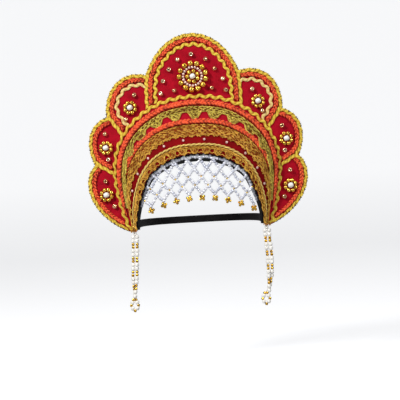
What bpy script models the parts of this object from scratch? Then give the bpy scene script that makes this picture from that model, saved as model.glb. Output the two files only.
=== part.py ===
"""Kokoshnik headdress: a stiff lobed panel, a sloping brow band, a head band and its trims.

The headdress faces -Y with +X to its right as seen and +Z up. The origin is where the
underside of the head band sits on the head. Every outline is drawn round the arch centre,
a point below the origin, as a radius that changes with the angle from straight up.
"""

import math

import bmesh
import bpy
from mathutils import Matrix, Vector

# Main sizes in metres
HEAD_RADIUS = 0.0670
OPENING_STEP = 0.0077
OPENING_RADIUS = HEAD_RADIUS + OPENING_STEP
BROW_DEPTH = 0.0676
ARCH_RADIUS = OPENING_RADIUS + BROW_DEPTH
PANEL_RISE = 0.0747
PANEL_WALL = 0.0030
PANEL_SWEEP = 0.0120
PANEL_LEAN = math.radians(4.0)
FOOT_ANGLE = math.radians(97.0)
RIM_REACH = 0.0280
RIM_STEP = 0.0010
BROW_WALL = 0.0024
BROW_SWELL = 0.0030
HEAD_BAND_WALL = 0.0020
HEAD_BAND_TAIL = 0.0012

# Clearances
GAP = 0.0003
TRIM_GAP = 0.0005

# How finely the surfaces are cut
NORMAL_STEP = 0.002
CENTRE_LOBE_STEPS = 12
SIDE_LOBE_STEPS = 8
BAND_SECTIONS = 41
HEAD_BAND_SECTIONS = 37
ELASTIC_SECTIONS = 25
LOBE_SECTIONS = 12
SETTING_SIDES = 16

# Trims
BRAID_WIDTH = 0.0056
EDGE_BRAID_WIDTH = 0.0044
EDGE_MARGIN = 0.0002
BRAID_THICKNESS = 0.0016
ROPE_WIDTH = 0.0048
ROPE_THICKNESS = 0.0024
INNER_BRAID_WIDTH = 0.0044
INNER_BRAID_SPACE = 0.0012
LACE_THICKNESS = 0.0012
CORD_THICKNESS = 0.0022
CORNER_ROUND = 0.0045
CORNER_EASE = 0.3
SCALLOPS = 15
ARCH_BRAID_END = math.radians(93.0)

# Elastic
ELASTIC_WIDTH = 0.0090
ELASTIC_THICKNESS = 0.0015
ELASTIC_DEPTH = 0.1500
ELASTIC_SPREAD = 0.0060
ELASTIC_LIFT = 0.0020
ELASTIC_SQUARENESS = 0.72
ELASTIC_FULLNESS = 0.80

# Beads
SETTING_THICKNESS = 0.0008
SETTING_MARGIN = 0.0002
PEARL_RADIUS = 0.0032
BEAD_SIDES = 10
DOME_SHOULDER = (0.80, 0.62)
DOME_HEIGHT = 1.7

# Forehead net
NET_PITCH = 0.0146
NET_ROW = 0.00975
NET_TOP_DROP = 0.0062
NET_SAG = 0.0150
NET_SAG_REACH = 0.0620
NET_SHIFT = -0.0036
NET_STRAND = 0.0024
NET_THICKNESS = 0.0020
NET_SETBACK = 0.0045
NET_ROWS = 5
NET_SIDE = 0.0660
NET_SLIVER = 0.000022
NET_WELD = 0.0008
NET_END = math.radians(93.0)
NET_EDGE_POINTS = 63
DROP_RADIUS = 0.0030
DROP_HEIGHT = 0.0080

# Temple strings
STRING_RADIUS = 0.0044

# One row for each station from the top of the arch to its foot, as a share of FOOT_ANGLE.
# depth, opening and seat are shares of BROW_DEPTH, OPENING_RADIUS and HEAD_RADIUS.
# The other columns are shares of the way from the arch to the opening.
STATION_COLUMNS = (
    "turn", "depth", "opening", "seat", "rope_top", "rope_foot", "lace_top", "lace_band",
    "lace_tips", "rope_two_foot", "lace_two_foot", "cord_top", "cord_foot",
)
STATIONS = (
    (0.000, 1.000, 1.000, 1.000, 0.080, 0.169, 0.183, 0.287, 0.408, 0.503, 0.707, 0.840, 0.882),
    (0.186, 0.980, 1.007, 1.010, 0.082, 0.172, 0.187, 0.287, 0.393, 0.486, 0.674, 0.819, 0.861),
    (0.371, 0.863, 1.017, 1.037, 0.092, 0.195, 0.212, 0.310, 0.377, 0.469, 0.685, 0.805, 0.853),
    (0.495, 0.715, 1.016, 1.050, 0.108, 0.224, 0.240, 0.320, 0.364, 0.464, 0.690, 0.815, 0.870),
    (0.619, 0.558, 0.975, 1.019, 0.127, 0.265, 0.282, 0.350, 0.386, 0.444, 0.600, 0.767, 0.825),
    (0.742, 0.376, 0.963, 1.016, 0.165, 0.310, 0.330, 0.400, 0.424, 0.450, 0.580, 0.724, 0.800),
    (0.866, 0.228, 0.969, 1.028, 0.240, 0.330, 0.360, 0.420, 0.440, 0.460, 0.600, 0.680, 0.790),
    (1.000, 0.096, 0.991, 1.052, 0.500, 0.510, 0.520, 0.530, 0.540, 0.550, 0.620, 0.660, 0.800),
)

# Trims of the brow band: the two columns of STATIONS that each lies between, how far down
# it runs in degrees, and how many sections it has
CRESCENT_COLUMNS = ("name", "top", "foot", "end", "sections")
CRESCENT_TRIMS = (
    ("crescent_rope_upper", "rope_top", "rope_foot", 82.0, 33),
    ("gold_lace_upper", "lace_top", "lace_band", 78.0, 3 * SCALLOPS),
    ("crescent_rope_lower", "lace_tips", "rope_two_foot", 56.0, 23),
    ("gold_lace_lower", "rope_two_foot", "lace_two_foot", 88.0, 33),
    ("rim_cord", "cord_top", "cord_foot", 94.0, 35),
    ("rim_lace", "cord_foot", "edge", 95.0, 35),
)

# One row for each lobe of the right half, from the centre down. end and border are the
# angles in degrees where the lobe's border leaves the outline and where it meets the arch.
# reach, bulge and rosette_reach are shares of PANEL_RISE.
LOBE_COLUMNS = (
    "name", "end", "reach", "bulge", "skew", "fullness", "border", "rosette", "rosette_reach",
)
LOBES = (
    ("centre", 17.8, 0.507, 0.493, 0.0, 1.10, 23.8, 0.0, 0.311),
    ("upper", 39.7, 0.396, 0.200, 0.0, 1.00, 40.7, 29.1, 0.195),
    ("middle", 60.1, 0.360, 0.147, 0.0, 1.00, 60.5, 49.9, 0.193),
    ("lower", 97.0, 0.033, 0.250, 0.3, 1.00, 97.0, 72.6, 0.196),
)

# Rings of gold beads: how many, how far out and how large, in metres
RING_COLUMNS = ("count", "ring_radius", "bead_radius")
CENTRE_RINGS = (
    (7, 0.0062, 0.0023),
    (13, 0.0156, 0.0030),
)
SIDE_RINGS = (
    (8, 0.0059, 0.0021),
)

# The middle line of each temple string, chosen by hand: sideways and down from its foot
STRING_ROUTES = {
    "left": (
        (0.0000, 0.0000), (-0.0006, -0.0120), (-0.0012, -0.0240), (-0.0019, -0.0360),
        (-0.0026, -0.0480), (-0.0032, -0.0600), (-0.0038, -0.0720), (-0.0043, -0.0830),
        (-0.0047, -0.0930),
    ),
    "right": (
        (0.0000, 0.0000), (0.0006, -0.0120), (0.0014, -0.0240), (0.0020, -0.0360),
        (0.0021, -0.0480), (0.0014, -0.0600), (-0.0002, -0.0720), (-0.0024, -0.0830),
        (-0.0044, -0.0930),
    ),
}

SIDES = {"left": -1.0, "right": 1.0}


def clear_scene():
    for old in list(bpy.data.objects):
        bpy.data.objects.remove(old, do_unlink=True)


def make_material(name, colour, roughness, metallic=0.0):
    material = bpy.data.materials.new(name)
    material.use_nodes = True
    shader = material.node_tree.nodes["Principled BSDF"]
    shader.inputs["Base Color"].default_value = (*colour, 1.0)
    shader.inputs["Roughness"].default_value = roughness
    shader.inputs["Metallic"].default_value = metallic
    return material


def add_object(name, mesh_builder, material, smooth=True):
    """Turn a bmesh into one object whose faces all point out."""
    bmesh.ops.recalc_face_normals(mesh_builder, faces=mesh_builder.faces)
    mesh = bpy.data.meshes.new(name)
    mesh_builder.to_mesh(mesh)
    mesh_builder.free()
    mesh.materials.append(material)
    if smooth:
        mesh.shade_smooth()
        mesh.set_sharp_from_angle(angle=math.radians(40.0))
    item = bpy.data.objects.new(name, mesh)
    bpy.context.scene.collection.objects.link(item)
    return item


# Curves of the outline

def table_rows(columns, rows):
    return [dict(zip(columns, row)) for row in rows]


STATION_ROWS = table_rows(STATION_COLUMNS, STATIONS)
LOBE_ROWS = table_rows(LOBE_COLUMNS, LOBES)


def station(column, angle):
    """Read a column at an angle, as a smooth curve through its rows."""
    turn = min(abs(angle) / FOOT_ANGLE, 1.0)
    last = len(STATION_ROWS) - 1
    index = 0
    while index < last - 1 and turn > STATION_ROWS[index + 1]["turn"]:
        index += 1

    def slope(at):
        low = STATION_ROWS[max(at - 1, 0)]
        high = STATION_ROWS[min(at + 1, last)]
        if at == 0:
            return 0.0
        return (high[column] - low[column]) / (high["turn"] - low["turn"])

    start = STATION_ROWS[index]
    end = STATION_ROWS[index + 1]
    span = end["turn"] - start["turn"]
    t = (turn - start["turn"]) / span
    return (
        (2 * t ** 3 - 3 * t ** 2 + 1) * start[column]
        + (t ** 3 - 2 * t ** 2 + t) * span * slope(index)
        + (3 * t ** 2 - 2 * t ** 3) * end[column]
        + (t ** 3 - t ** 2) * span * slope(index + 1)
    )


def opening_radius(angle):
    return OPENING_RADIUS * station("opening", angle)


def brow_depth(angle):
    """How far the arch lies outside the opening."""
    return BROW_DEPTH * station("depth", angle)


def arch_radius(angle):
    return opening_radius(angle) + brow_depth(angle)


def seat_radius(angle):
    return HEAD_RADIUS * station("seat", angle)


def lobe_at(angle):
    turn = math.degrees(abs(angle))
    for index, row in enumerate(LOBE_ROWS):
        if turn <= row["end"] + 1e-6:
            return index
    return len(LOBE_ROWS) - 1


def outline_radius(angle):
    """Radius of the panel's lobed outline."""
    index = lobe_at(angle)
    row = LOBE_ROWS[index]
    turn = math.degrees(abs(angle))
    if index == 0:
        share = 0.5 + 0.5 * turn / row["end"]
        chord = row["reach"]
    else:
        before = LOBE_ROWS[index - 1]
        share = (turn - before["end"]) / (row["end"] - before["end"])
        chord = before["reach"] + (row["reach"] - before["reach"]) * share
    share = min(max(share, 0.0), 1.0)
    rise = (4.0 * share * (1.0 - share)) ** row["fullness"]
    rise *= 1.0 + row["skew"] * (1.0 - 2.0 * share)
    return arch_radius(angle) + PANEL_RISE * (chord + row["bulge"] * rise)


def polar(angle, radius):
    """X and Z of a point round the arch centre."""
    return (radius * math.sin(angle), radius * math.cos(angle) - HEAD_RADIUS)


FOOT_Z = polar(FOOT_ANGLE, opening_radius(FOOT_ANGLE))[1]
PANEL_HALF_WIDTH = max(
    outline_radius(math.radians(turn)) * math.sin(math.radians(turn)) for turn in range(30, 97)
)


# Surfaces that the pieces lie on

def panel_front(x, z):
    """Y of the panel's front face, swept back at its sides and leaning back at its top."""
    return PANEL_SWEEP * (x / PANEL_HALF_WIDTH) ** 2 + math.tan(PANEL_LEAN) * (z - FOOT_Z)


def rim_front(z):
    """Y of the edge of the face opening, which lies in one slanting plane."""
    x_foot, z_foot = polar(FOOT_ANGLE, opening_radius(FOOT_ANGLE))
    foot = panel_front(x_foot, z_foot) - GAP - BROW_WALL - RIM_STEP
    height = OPENING_RADIUS - HEAD_RADIUS - z_foot
    return foot - RIM_REACH * (z - z_foot) / height


def seam_share(angle):
    """Where the brow band starts, just inside the arch braid."""
    return (BRAID_WIDTH / 2 + TRIM_GAP) / brow_depth(angle)


def ramp_polar(angle, share):
    return polar(angle, arch_radius(angle) - brow_depth(angle) * share)


def ramp_point(angle, share):
    """A point on the front face of the brow band."""
    x, z = ramp_polar(angle, share)
    start = seam_share(angle)
    x_seam, z_seam = ramp_polar(angle, start)
    z_rim = ramp_polar(angle, 1.0)[1]
    y_seam = panel_front(x_seam, z_seam) - GAP - BROW_WALL
    t = (share - start) / (1.0 - start)
    swell = BROW_SWELL * 4.0 * t * (1.0 - t) * math.cos(angle * math.pi / 2 / FOOT_ANGLE)
    return Vector((x, y_seam + (rim_front(z_rim) - y_seam) * t - swell, z))


def seat_on_panel(x, z, lift):
    return Vector((x, panel_front(x, z) - lift, z))


def seat_on_ramp(angle, share, lift):
    """A point that stands off the brow band's front face by lift."""
    step = NORMAL_STEP
    point = ramp_point(angle, share)
    inner = min(share + step, 1.0)
    across = ramp_point(angle, inner) - ramp_point(angle, inner - 2 * step)
    along = ramp_point(angle + step, share) - ramp_point(angle - step, share)
    normal = across.cross(along).normalized()
    if normal.y > 0:
        normal.negate()
    return point + normal * lift


def head_band_radius(angle, y):
    """Radius of the head band's inner face at a depth."""
    front = rim_front(polar(angle, opening_radius(angle))[1])
    back = head_band_back(angle)
    t = min(max((y - front) / (back - front), 0.0), 1.0)
    return opening_radius(angle) + (seat_radius(angle) - opening_radius(angle)) * t


def head_band_back(angle):
    x, z = polar(angle, seat_radius(angle))
    return panel_front(x, z) + PANEL_WALL + HEAD_BAND_TAIL


def head_band_front(angle):
    """Y where the head band starts, behind the brow band's wall."""
    share = 1.0 - (HEAD_BAND_WALL + GAP) / brow_depth(angle)
    return ramp_point(angle, share).y + BROW_WALL + GAP


# Mesh helpers

def shell(name, front, back, material):
    """A closed wall between two grids of points that match."""
    builder = bmesh.new()
    rows = len(front)
    columns = len(front[0])
    front_verts = [[builder.verts.new(point) for point in row] for row in front]
    back_verts = [[builder.verts.new(point) for point in row] for row in back]
    for i in range(rows - 1):
        for j in range(columns - 1):
            for grid in (front_verts, back_verts):
                builder.faces.new((grid[i][j], grid[i + 1][j], grid[i + 1][j + 1], grid[i][j + 1]))
    edge = [(i, 0) for i in range(rows)]
    edge += [(rows - 1, j) for j in range(1, columns)]
    edge += [(i, columns - 1) for i in range(rows - 2, -1, -1)]
    edge += [(0, j) for j in range(columns - 2, 0, -1)]
    for (i, j), (k, m) in zip(edge, edge[1:] + edge[:1]):
        builder.faces.new((front_verts[i][j], front_verts[k][m], back_verts[k][m], back_verts[i][j]))
    return add_object(name, builder, material)


def loft(name, sections, material):
    """A closed body through rings of points, with flat ends."""
    builder = bmesh.new()
    rings = [[builder.verts.new(point) for point in section] for section in sections]
    count = len(rings[0])
    for ring, after in zip(rings, rings[1:]):
        for i in range(count):
            k = (i + 1) % count
            builder.faces.new((ring[i], ring[k], after[k], after[i]))
    builder.faces.new(rings[0])
    builder.faces.new(rings[-1])
    return add_object(name, builder, material)


BRAID_SECTION = ((0.0, 0.0), (0.14, 1.0), (0.86, 1.0), (1.0, 0.0))
ROPE_SECTION = ((0.0, 0.0), (0.14, 0.72), (0.5, 1.0), (0.86, 0.72), (1.0, 0.0))
CABLE_SECTION = ((0.0, 0.0), (0.24, 1.0), (0.76, 1.0), (1.0, 0.0))


def trim(name, line_a, line_b, seat, section, thickness, material):
    """A trim between two lines, with a section of (share across, share of thickness)."""
    sections = []
    for (a0, a1), (b0, b1) in zip(line_a, line_b):
        ring = []
        for across, height in section:
            u = a0 + (b0 - a0) * across
            v = a1 + (b1 - a1) * across
            ring.append(seat(u, v, GAP + thickness * height))
        sections.append(ring)
    return loft(name, sections, material)


def resample(points, count):
    """Points at equal steps along a line."""
    lengths = [0.0]
    for (ax, az), (bx, bz) in zip(points, points[1:]):
        lengths.append(lengths[-1] + math.hypot(bx - ax, bz - az))
    result = []
    index = 0
    for step in range(count):
        target = lengths[-1] * step / (count - 1)
        while index < len(points) - 2 and lengths[index + 1] < target:
            index += 1
        span = lengths[index + 1] - lengths[index]
        t = (target - lengths[index]) / span if span > 0 else 0.0
        ax, az = points[index]
        bx, bz = points[index + 1]
        result.append((ax + (bx - ax) * t, az + (bz - az) * t))
    return result


def round_corner(before, after, radius):
    """Join two lines that meet in a corner by a short curve."""
    corner = before[-1]

    def cut(points):
        kept = [p for p in points if math.hypot(p[0] - corner[0], p[1] - corner[1]) > radius]
        return kept if kept else points[:1]

    first = cut(before)
    second = list(reversed(cut(list(reversed(after)))))
    start = first[-1]
    end = second[0]
    curve = []
    for step in range(1, 8):
        t = step / 8
        curve.append(tuple(
            (1 - t) ** 2 * start[k] + 2 * t * (1 - t) * corner[k] + t ** 2 * end[k] for k in (0, 1)
        ))
    return first + curve + second


# Lines inside the lobes

def border_angle(index, radius):
    """Angle of the border below a lobe, at a radius."""
    row = LOBE_ROWS[index]
    top_angle = math.radians(row["end"])
    top_radius = outline_radius(top_angle)
    foot_angle = math.radians(row["border"])
    foot_radius = arch_radius(foot_angle)
    t = min(max((top_radius - radius) / (top_radius - foot_radius), 0.0), 1.0)
    return top_angle + (foot_angle - top_angle) * t


def inset_radius(angle, inset):
    """Radius of the line that runs inset inside the outline."""
    step = 0.01
    index = lobe_at(angle)
    low = angle - step
    high = angle + step
    if index > 0 and lobe_at(low) != index:
        low = angle
    if lobe_at(high) != index:
        high = angle
    slope = (outline_radius(high) - outline_radius(low)) / (high - low)
    radius = outline_radius(angle)
    return radius - inset * math.sqrt(1.0 + (slope / radius) ** 2)


def arch_stop(angle):
    return arch_radius(angle) + BRAID_WIDTH / 2 + TRIM_GAP


def lobe_line(index, inset, count):
    """Line inside a lobe of the right half: along its outline, then down its border."""
    row = LOBE_ROWS[index]
    last = index == len(LOBE_ROWS) - 1
    start = 0.0
    if index > 0:
        start = math.radians(LOBE_ROWS[index - 1]["end"])
        for _ in range(12):
            radius = inset_radius(start + 1e-4, inset)
            start = border_angle(index - 1, radius) + TRIM_GAP / radius
    end = math.radians(row["end"])
    outline = []
    steps = 160
    for step in range(steps + 1):
        angle = start + (end - start) * step / steps
        radius = inset_radius(angle, inset)
        limit = border_angle(index, radius) - inset / radius
        if radius < arch_stop(angle) or (not last and angle > limit):
            break
        outline.append(polar(angle, radius))
        corner_radius = radius
    if last:
        return resample(outline, count)
    border = [outline[-1]]
    for step in range(1, 121):
        radius = corner_radius * (1.0 - step / 240)
        angle = border_angle(index, radius) - inset / radius
        if radius < arch_stop(angle):
            break
        border.append(polar(angle, radius))
    return resample(round_corner(outline, border, CORNER_ROUND + inset * CORNER_EASE), count)


def mirrored(points, side):
    return [(x * side, z) for x, z in points]


def lobe_trim(name, index, side, outer, inner, count, section, thickness, material):
    """A trim that follows a lobe between two insets; the centre lobe's runs down both sides."""
    line_a = lobe_line(index, outer, count)
    line_b = lobe_line(index, inner, count)
    if index == 0:
        line_a = list(reversed(mirrored(line_a[1:], -1.0))) + line_a
        line_b = list(reversed(mirrored(line_b[1:], -1.0))) + line_b
    else:
        line_a = mirrored(line_a, side)
        line_b = mirrored(line_b, side)
    return trim(name, line_a, line_b, seat_on_panel, section, thickness, material)


# Pieces

def build_front_panel(material):
    angles = []
    stops = [-FOOT_ANGLE]
    stops += [-math.radians(row["end"]) for row in reversed(LOBE_ROWS[:-1])]
    stops += [math.radians(row["end"]) for row in LOBE_ROWS[:-1]]
    stops += [FOOT_ANGLE]
    for low, high in zip(stops, stops[1:]):
        steps = CENTRE_LOBE_STEPS if low < 0.0 < high else SIDE_LOBE_STEPS
        angles += [low + (high - low) * step / steps for step in range(steps)]
    angles.append(stops[-1])
    front = []
    back = []
    layers = 3
    for angle in angles:
        x, z = polar(angle, seat_radius(angle))
        inner = head_band_radius(angle, panel_front(x, z)) + HEAD_BAND_WALL + 2 * GAP
        outer = outline_radius(angle)
        front_row = []
        back_row = []
        for layer in range(layers + 1):
            x, z = polar(angle, inner + (outer - inner) * layer / layers)
            front_row.append(Vector((x, panel_front(x, z), z)))
            back_row.append(Vector((x, panel_front(x, z) + PANEL_WALL, z)))
        front.append(front_row)
        back.append(back_row)
    return shell("front_panel", front, back, material)


def foot_angles(end_angle, count):
    return [end_angle * (2.0 * step / (count - 1) - 1.0) for step in range(count)]


def build_brow_band(material):
    front = []
    back = []
    layers = 4
    for angle in foot_angles(FOOT_ANGLE, BAND_SECTIONS):
        start = seam_share(angle)
        row = [ramp_point(angle, start + (1.0 - start) * k / layers) for k in range(layers + 1)]
        front.append(row)
        back.append([point + Vector((0.0, BROW_WALL, 0.0)) for point in row])
    return shell("brow_band", front, back, material)


def build_head_band(material):
    outer = []
    inner = []
    layers = 1
    for angle in foot_angles(FOOT_ANGLE, HEAD_BAND_SECTIONS):
        low = head_band_front(angle)
        high = head_band_back(angle)
        outer_row = []
        inner_row = []
        for layer in range(layers + 1):
            y = low + (high - low) * layer / layers
            radius = head_band_radius(angle, y)
            x, z = polar(angle, radius)
            inner_row.append(Vector((x, y, z)))
            x, z = polar(angle, radius + HEAD_BAND_WALL)
            outer_row.append(Vector((x, y, z)))
        outer.append(outer_row)
        inner.append(inner_row)
    return shell("head_band", outer, inner, material)


def build_nape_elastic(material):
    """A flat band from foot to foot, behind the panel and round the back of the head."""
    x_foot, z_foot = polar(FOOT_ANGLE, seat_radius(FOOT_ANGLE))
    half = x_foot + HEAD_BAND_WALL / 2
    low = z_foot + ELASTIC_LIFT
    high = low + ELASTIC_WIDTH
    start = panel_front(half + HEAD_BAND_WALL, high) + PANEL_WALL + HEAD_BAND_TAIL + GAP
    sections = []
    count = ELASTIC_SECTIONS
    for step in range(count):
        turn = math.pi * (step / (count - 1))
        share = math.sin(turn)
        side = -math.copysign(abs(math.cos(turn)) ** ELASTIC_SQUARENESS, math.cos(turn))
        x = side * (half + ELASTIC_SPREAD * share)
        y = start + ELASTIC_DEPTH * share ** ELASTIC_FULLNESS
        sections.append((x, y))
    rings = []
    for step, (x, y) in enumerate(sections):
        ax, ay = sections[max(step - 1, 0)]
        bx, by = sections[min(step + 1, count - 1)]
        if step in (0, count - 1):
            normal = Vector((1.0, 0.0, 0.0)) * math.copysign(1.0, x)
        else:
            normal = Vector((by - ay, ax - bx, 0.0)).normalized()
            if normal.dot(Vector((x, y - start, 0.0))) < 0:
                normal.negate()
        ring = []
        for out, up in ((-0.5, 0.0), (0.5, 0.0), (0.5, 1.0), (-0.5, 1.0)):
            point = Vector((x, y, low + (high - low) * up))
            ring.append(point + normal * ELASTIC_THICKNESS * out)
        rings.append(ring)
    return loft("nape_elastic", rings, material)


def build_arch_braid(material):
    angles = foot_angles(ARCH_BRAID_END, BAND_SECTIONS)
    half = BRAID_WIDTH / 2
    line_a = [polar(angle, arch_radius(angle) + half) for angle in angles]
    line_b = [polar(angle, arch_radius(angle) - half) for angle in angles]
    return trim(
        "arch_braid", line_a, line_b, seat_on_panel, BRAID_SECTION, BRAID_THICKNESS, material
    )


def build_lobe_trims(braid, rope, pale_braid):
    """Edge braids, ropes and inner braids of the seven lobes."""
    braid_foot = EDGE_MARGIN + EDGE_BRAID_WIDTH
    rope_foot = braid_foot + TRIM_GAP + ROPE_WIDTH
    inner_foot = rope_foot + INNER_BRAID_SPACE + INNER_BRAID_WIDTH
    for index, row in enumerate(LOBE_ROWS):
        sides = {"": 1.0} if index == 0 else {"_" + side: sign for side, sign in SIDES.items()}
        for suffix, sign in sides.items():
            label = row["name"] + suffix
            lobe_trim(
                "edge_braid_" + label, index, sign, EDGE_MARGIN, braid_foot, LOBE_SECTIONS,
                BRAID_SECTION, BRAID_THICKNESS, braid,
            )
            lobe_trim(
                "rope_" + label, index, sign, braid_foot + TRIM_GAP, rope_foot,
                LOBE_SECTIONS, CABLE_SECTION, ROPE_THICKNESS, rope,
            )
            if index < 2:
                inner_material = braid if index == 0 else pale_braid
                lobe_trim(
                    "inner_braid_" + label, index, sign, rope_foot + INNER_BRAID_SPACE,
                    inner_foot, LOBE_SECTIONS, BRAID_SECTION, BRAID_THICKNESS, inner_material,
                )


def ramp_trim(row, section, thickness, material, tips=None):
    """A trim on the brow band, between two columns of the table of stations."""
    line_a = []
    line_b = []
    for step, angle in enumerate(foot_angles(math.radians(row["end"]), row["sections"])):
        margin = TRIM_GAP / 2 / brow_depth(angle)
        line_a.append((angle, station(row["top"], angle) + margin))
        foot = row["foot"]
        if tips is not None and step % 3 == 1:
            foot = tips
        share = 1.0 if foot == "edge" else station(foot, angle)
        line_b.append((angle, share - margin))
    return trim(row["name"], line_a, line_b, seat_on_ramp, section, thickness, material)


def build_crescent(rope, lace, cord):
    """Ropes, laces, cord and rim lace of the brow band, from the arch to the opening."""
    for row in table_rows(CRESCENT_COLUMNS, CRESCENT_TRIMS):
        if "rope" in row["name"]:
            ramp_trim(row, ROPE_SECTION, ROPE_THICKNESS, rope)
        elif "cord" in row["name"]:
            ramp_trim(row, ROPE_SECTION, CORD_THICKNESS, cord)
        else:
            tips = "lace_tips" if row["name"] == "gold_lace_upper" else None
            ramp_trim(row, BRAID_SECTION, LACE_THICKNESS, lace, tips)


def place_on_panel(item, x, z, lift):
    """Stand an object on the panel's face, its own Z along the face's normal."""
    step = SETTING_THICKNESS
    across = seat_on_panel(x + step, z, 0.0) - seat_on_panel(x - step, z, 0.0)
    up = seat_on_panel(x, z + step, 0.0) - seat_on_panel(x, z - step, 0.0)
    normal = across.cross(up).normalized()
    if normal.y > 0:
        normal.negate()
    base = Vector((x, panel_front(x, z), z))
    rotation = normal.to_track_quat("Z", "Y").to_matrix().to_4x4()
    item.matrix_world = Matrix.Translation(base + normal * lift) @ rotation


def dome(builder, x, y, radius, foot, height):
    """A round bead that stands in its setting."""
    rings = []
    shoulder, rise = DOME_SHOULDER
    for share, level in ((1.0, foot), (shoulder, foot + rise * (height - foot))):
        ring = []
        for step in range(BEAD_SIDES):
            turn = 2 * math.pi * step / BEAD_SIDES
            point = (x + radius * share * math.cos(turn), y + radius * share * math.sin(turn), level)
            ring.append(builder.verts.new(point))
        rings.append(ring)
    tip = builder.verts.new((x, y, height))
    for i in range(BEAD_SIDES):
        k = (i + 1) % BEAD_SIDES
        builder.faces.new((rings[0][i], rings[0][k], rings[1][k], rings[1][i]))
        builder.faces.new((rings[1][i], rings[1][k], tip))
    builder.faces.new(rings[0])


def build_rosette(label, x, z, rings, gold, pearl):
    """A ring of beads fused to its round setting, and a pearl in the middle."""
    rows = table_rows(RING_COLUMNS, rings)
    last = rows[-1]
    setting_radius = last["ring_radius"] + last["bead_radius"] + SETTING_MARGIN
    setting = bmesh.new()
    bmesh.ops.create_cone(
        setting, cap_ends=True, segments=SETTING_SIDES, radius1=setting_radius,
        radius2=setting_radius, depth=SETTING_THICKNESS,
        matrix=Matrix.Translation((0.0, 0.0, SETTING_THICKNESS / 2)),
    )
    ring_item = add_object("rosette_ring_" + label, setting, gold)
    beads = bmesh.new()
    for row in rows:
        for step in range(row["count"]):
            turn = 2 * math.pi * (step + 0.5) / row["count"]
            dome(
                beads, row["ring_radius"] * math.cos(turn), row["ring_radius"] * math.sin(turn),
                row["bead_radius"], SETTING_THICKNESS / 2,
                SETTING_THICKNESS + DOME_HEIGHT * row["bead_radius"],
            )
    beads_item = add_object("guide_beads_" + label, beads, gold)
    beads_item.hide_render = True
    beads_item.display_type = "WIRE"
    place_on_panel(ring_item, x, z, GAP)
    place_on_panel(beads_item, x, z, GAP)
    union = ring_item.modifiers.new("beads", "BOOLEAN")
    union.operation = "UNION"
    union.object = beads_item
    ball = bmesh.new()
    bmesh.ops.create_uvsphere(ball, u_segments=BEAD_SIDES, v_segments=5, radius=PEARL_RADIUS)
    pearl_item = add_object("rosette_pearl_" + label, ball, pearl)
    place_on_panel(pearl_item, x, z, 2 * GAP + SETTING_THICKNESS + PEARL_RADIUS)


def build_rosettes(gold, pearl):
    for index, row in enumerate(LOBE_ROWS):
        angle = math.radians(row["rosette"])
        radius = arch_radius(angle) + PANEL_RISE * row["rosette_reach"]
        x, z = polar(angle, radius)
        if index == 0:
            build_rosette("centre", x, z, CENTRE_RINGS, gold, pearl)
        else:
            for side, sign in SIDES.items():
                build_rosette(row["name"] + "_" + side, sign * x, z, SIDE_RINGS, gold, pearl)


# Forehead net

def opening_angle_above(x):
    """Angle of the point of the opening's edge straight above x."""
    low = 0.0
    high = math.radians(75.0)
    for _ in range(40):
        middle = (low + high) / 2
        if opening_radius(middle) * math.sin(middle) < abs(x):
            low = middle
        else:
            high = middle
    return low


def net_front(x):
    """Y of the net, which hangs plumb from the opening's edge."""
    angle = opening_angle_above(x)
    return rim_front(polar(angle, opening_radius(angle))[1]) + NET_SETBACK


def net_knot(row, x):
    top = OPENING_RADIUS - HEAD_RADIUS - NET_TOP_DROP
    return (x, top - NET_ROW * row - NET_SAG * (x / NET_SAG_REACH) ** 2)


def net_limit():
    """The edge that the net is cut to, just inside the head band."""
    points = []
    for angle in foot_angles(NET_END, NET_EDGE_POINTS):
        edge = rim_front(polar(angle, opening_radius(angle))[1]) + NET_SETBACK + NET_THICKNESS
        points.append(polar(angle, head_band_radius(angle, edge) - TRIM_GAP))
    return points


def clip(polygon, limit):
    """Cut a polygon to a convex limit whose points run clockwise as seen from the front."""
    result = polygon
    for (ax, az), (bx, bz) in zip(limit, limit[1:] + limit[:1]):
        source = result
        result = []
        for i, point in enumerate(source):
            after = source[(i + 1) % len(source)]
            here = (bx - ax) * (point[1] - az) - (bz - az) * (point[0] - ax)
            there = (bx - ax) * (after[1] - az) - (bz - az) * (after[0] - ax)
            if here <= 0:
                result.append(point)
            if (here < 0 < there) or (there < 0 < here):
                t = here / (here - there)
                result.append((point[0] + (after[0] - point[0]) * t,
                               point[1] + (after[1] - point[1]) * t))
    return result


def polygon_area(points):
    total = 0.0
    for (ax, az), (bx, bz) in zip(points, points[1:] + points[:1]):
        total += ax * bz - bx * az
    return abs(total) / 2


def net_tip_places():
    places = []
    count = int(2 * NET_SIDE / NET_PITCH) + 2
    for step in range(-count, count):
        x = NET_SHIFT + (step + 0.5) * NET_PITCH
        if abs(x) < NET_SIDE:
            places.append(x)
    return places


def net_cells():
    """Every mesh of the net as a polygon in X and Z."""
    limit = net_limit()
    cells = []
    for row in range(-2, NET_ROWS - 1):
        shift = 0.0 if row % 2 else NET_PITCH / 2
        count = int(2 * NET_SIDE / NET_PITCH) + 2
        for step in range(-count, count):
            x = NET_SHIFT + (step + 0.5) * NET_PITCH + shift
            if abs(x) > NET_SIDE:
                continue
            cell = [
                net_knot(row - 1, x), net_knot(row, x + NET_PITCH / 2),
                net_knot(row + 1, x), net_knot(row, x - NET_PITCH / 2),
            ]
            cell = clip(cell, limit)
            if len(cell) > 2 and polygon_area(cell) > NET_SLIVER:
                cells.append(cell)
    return cells


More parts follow.
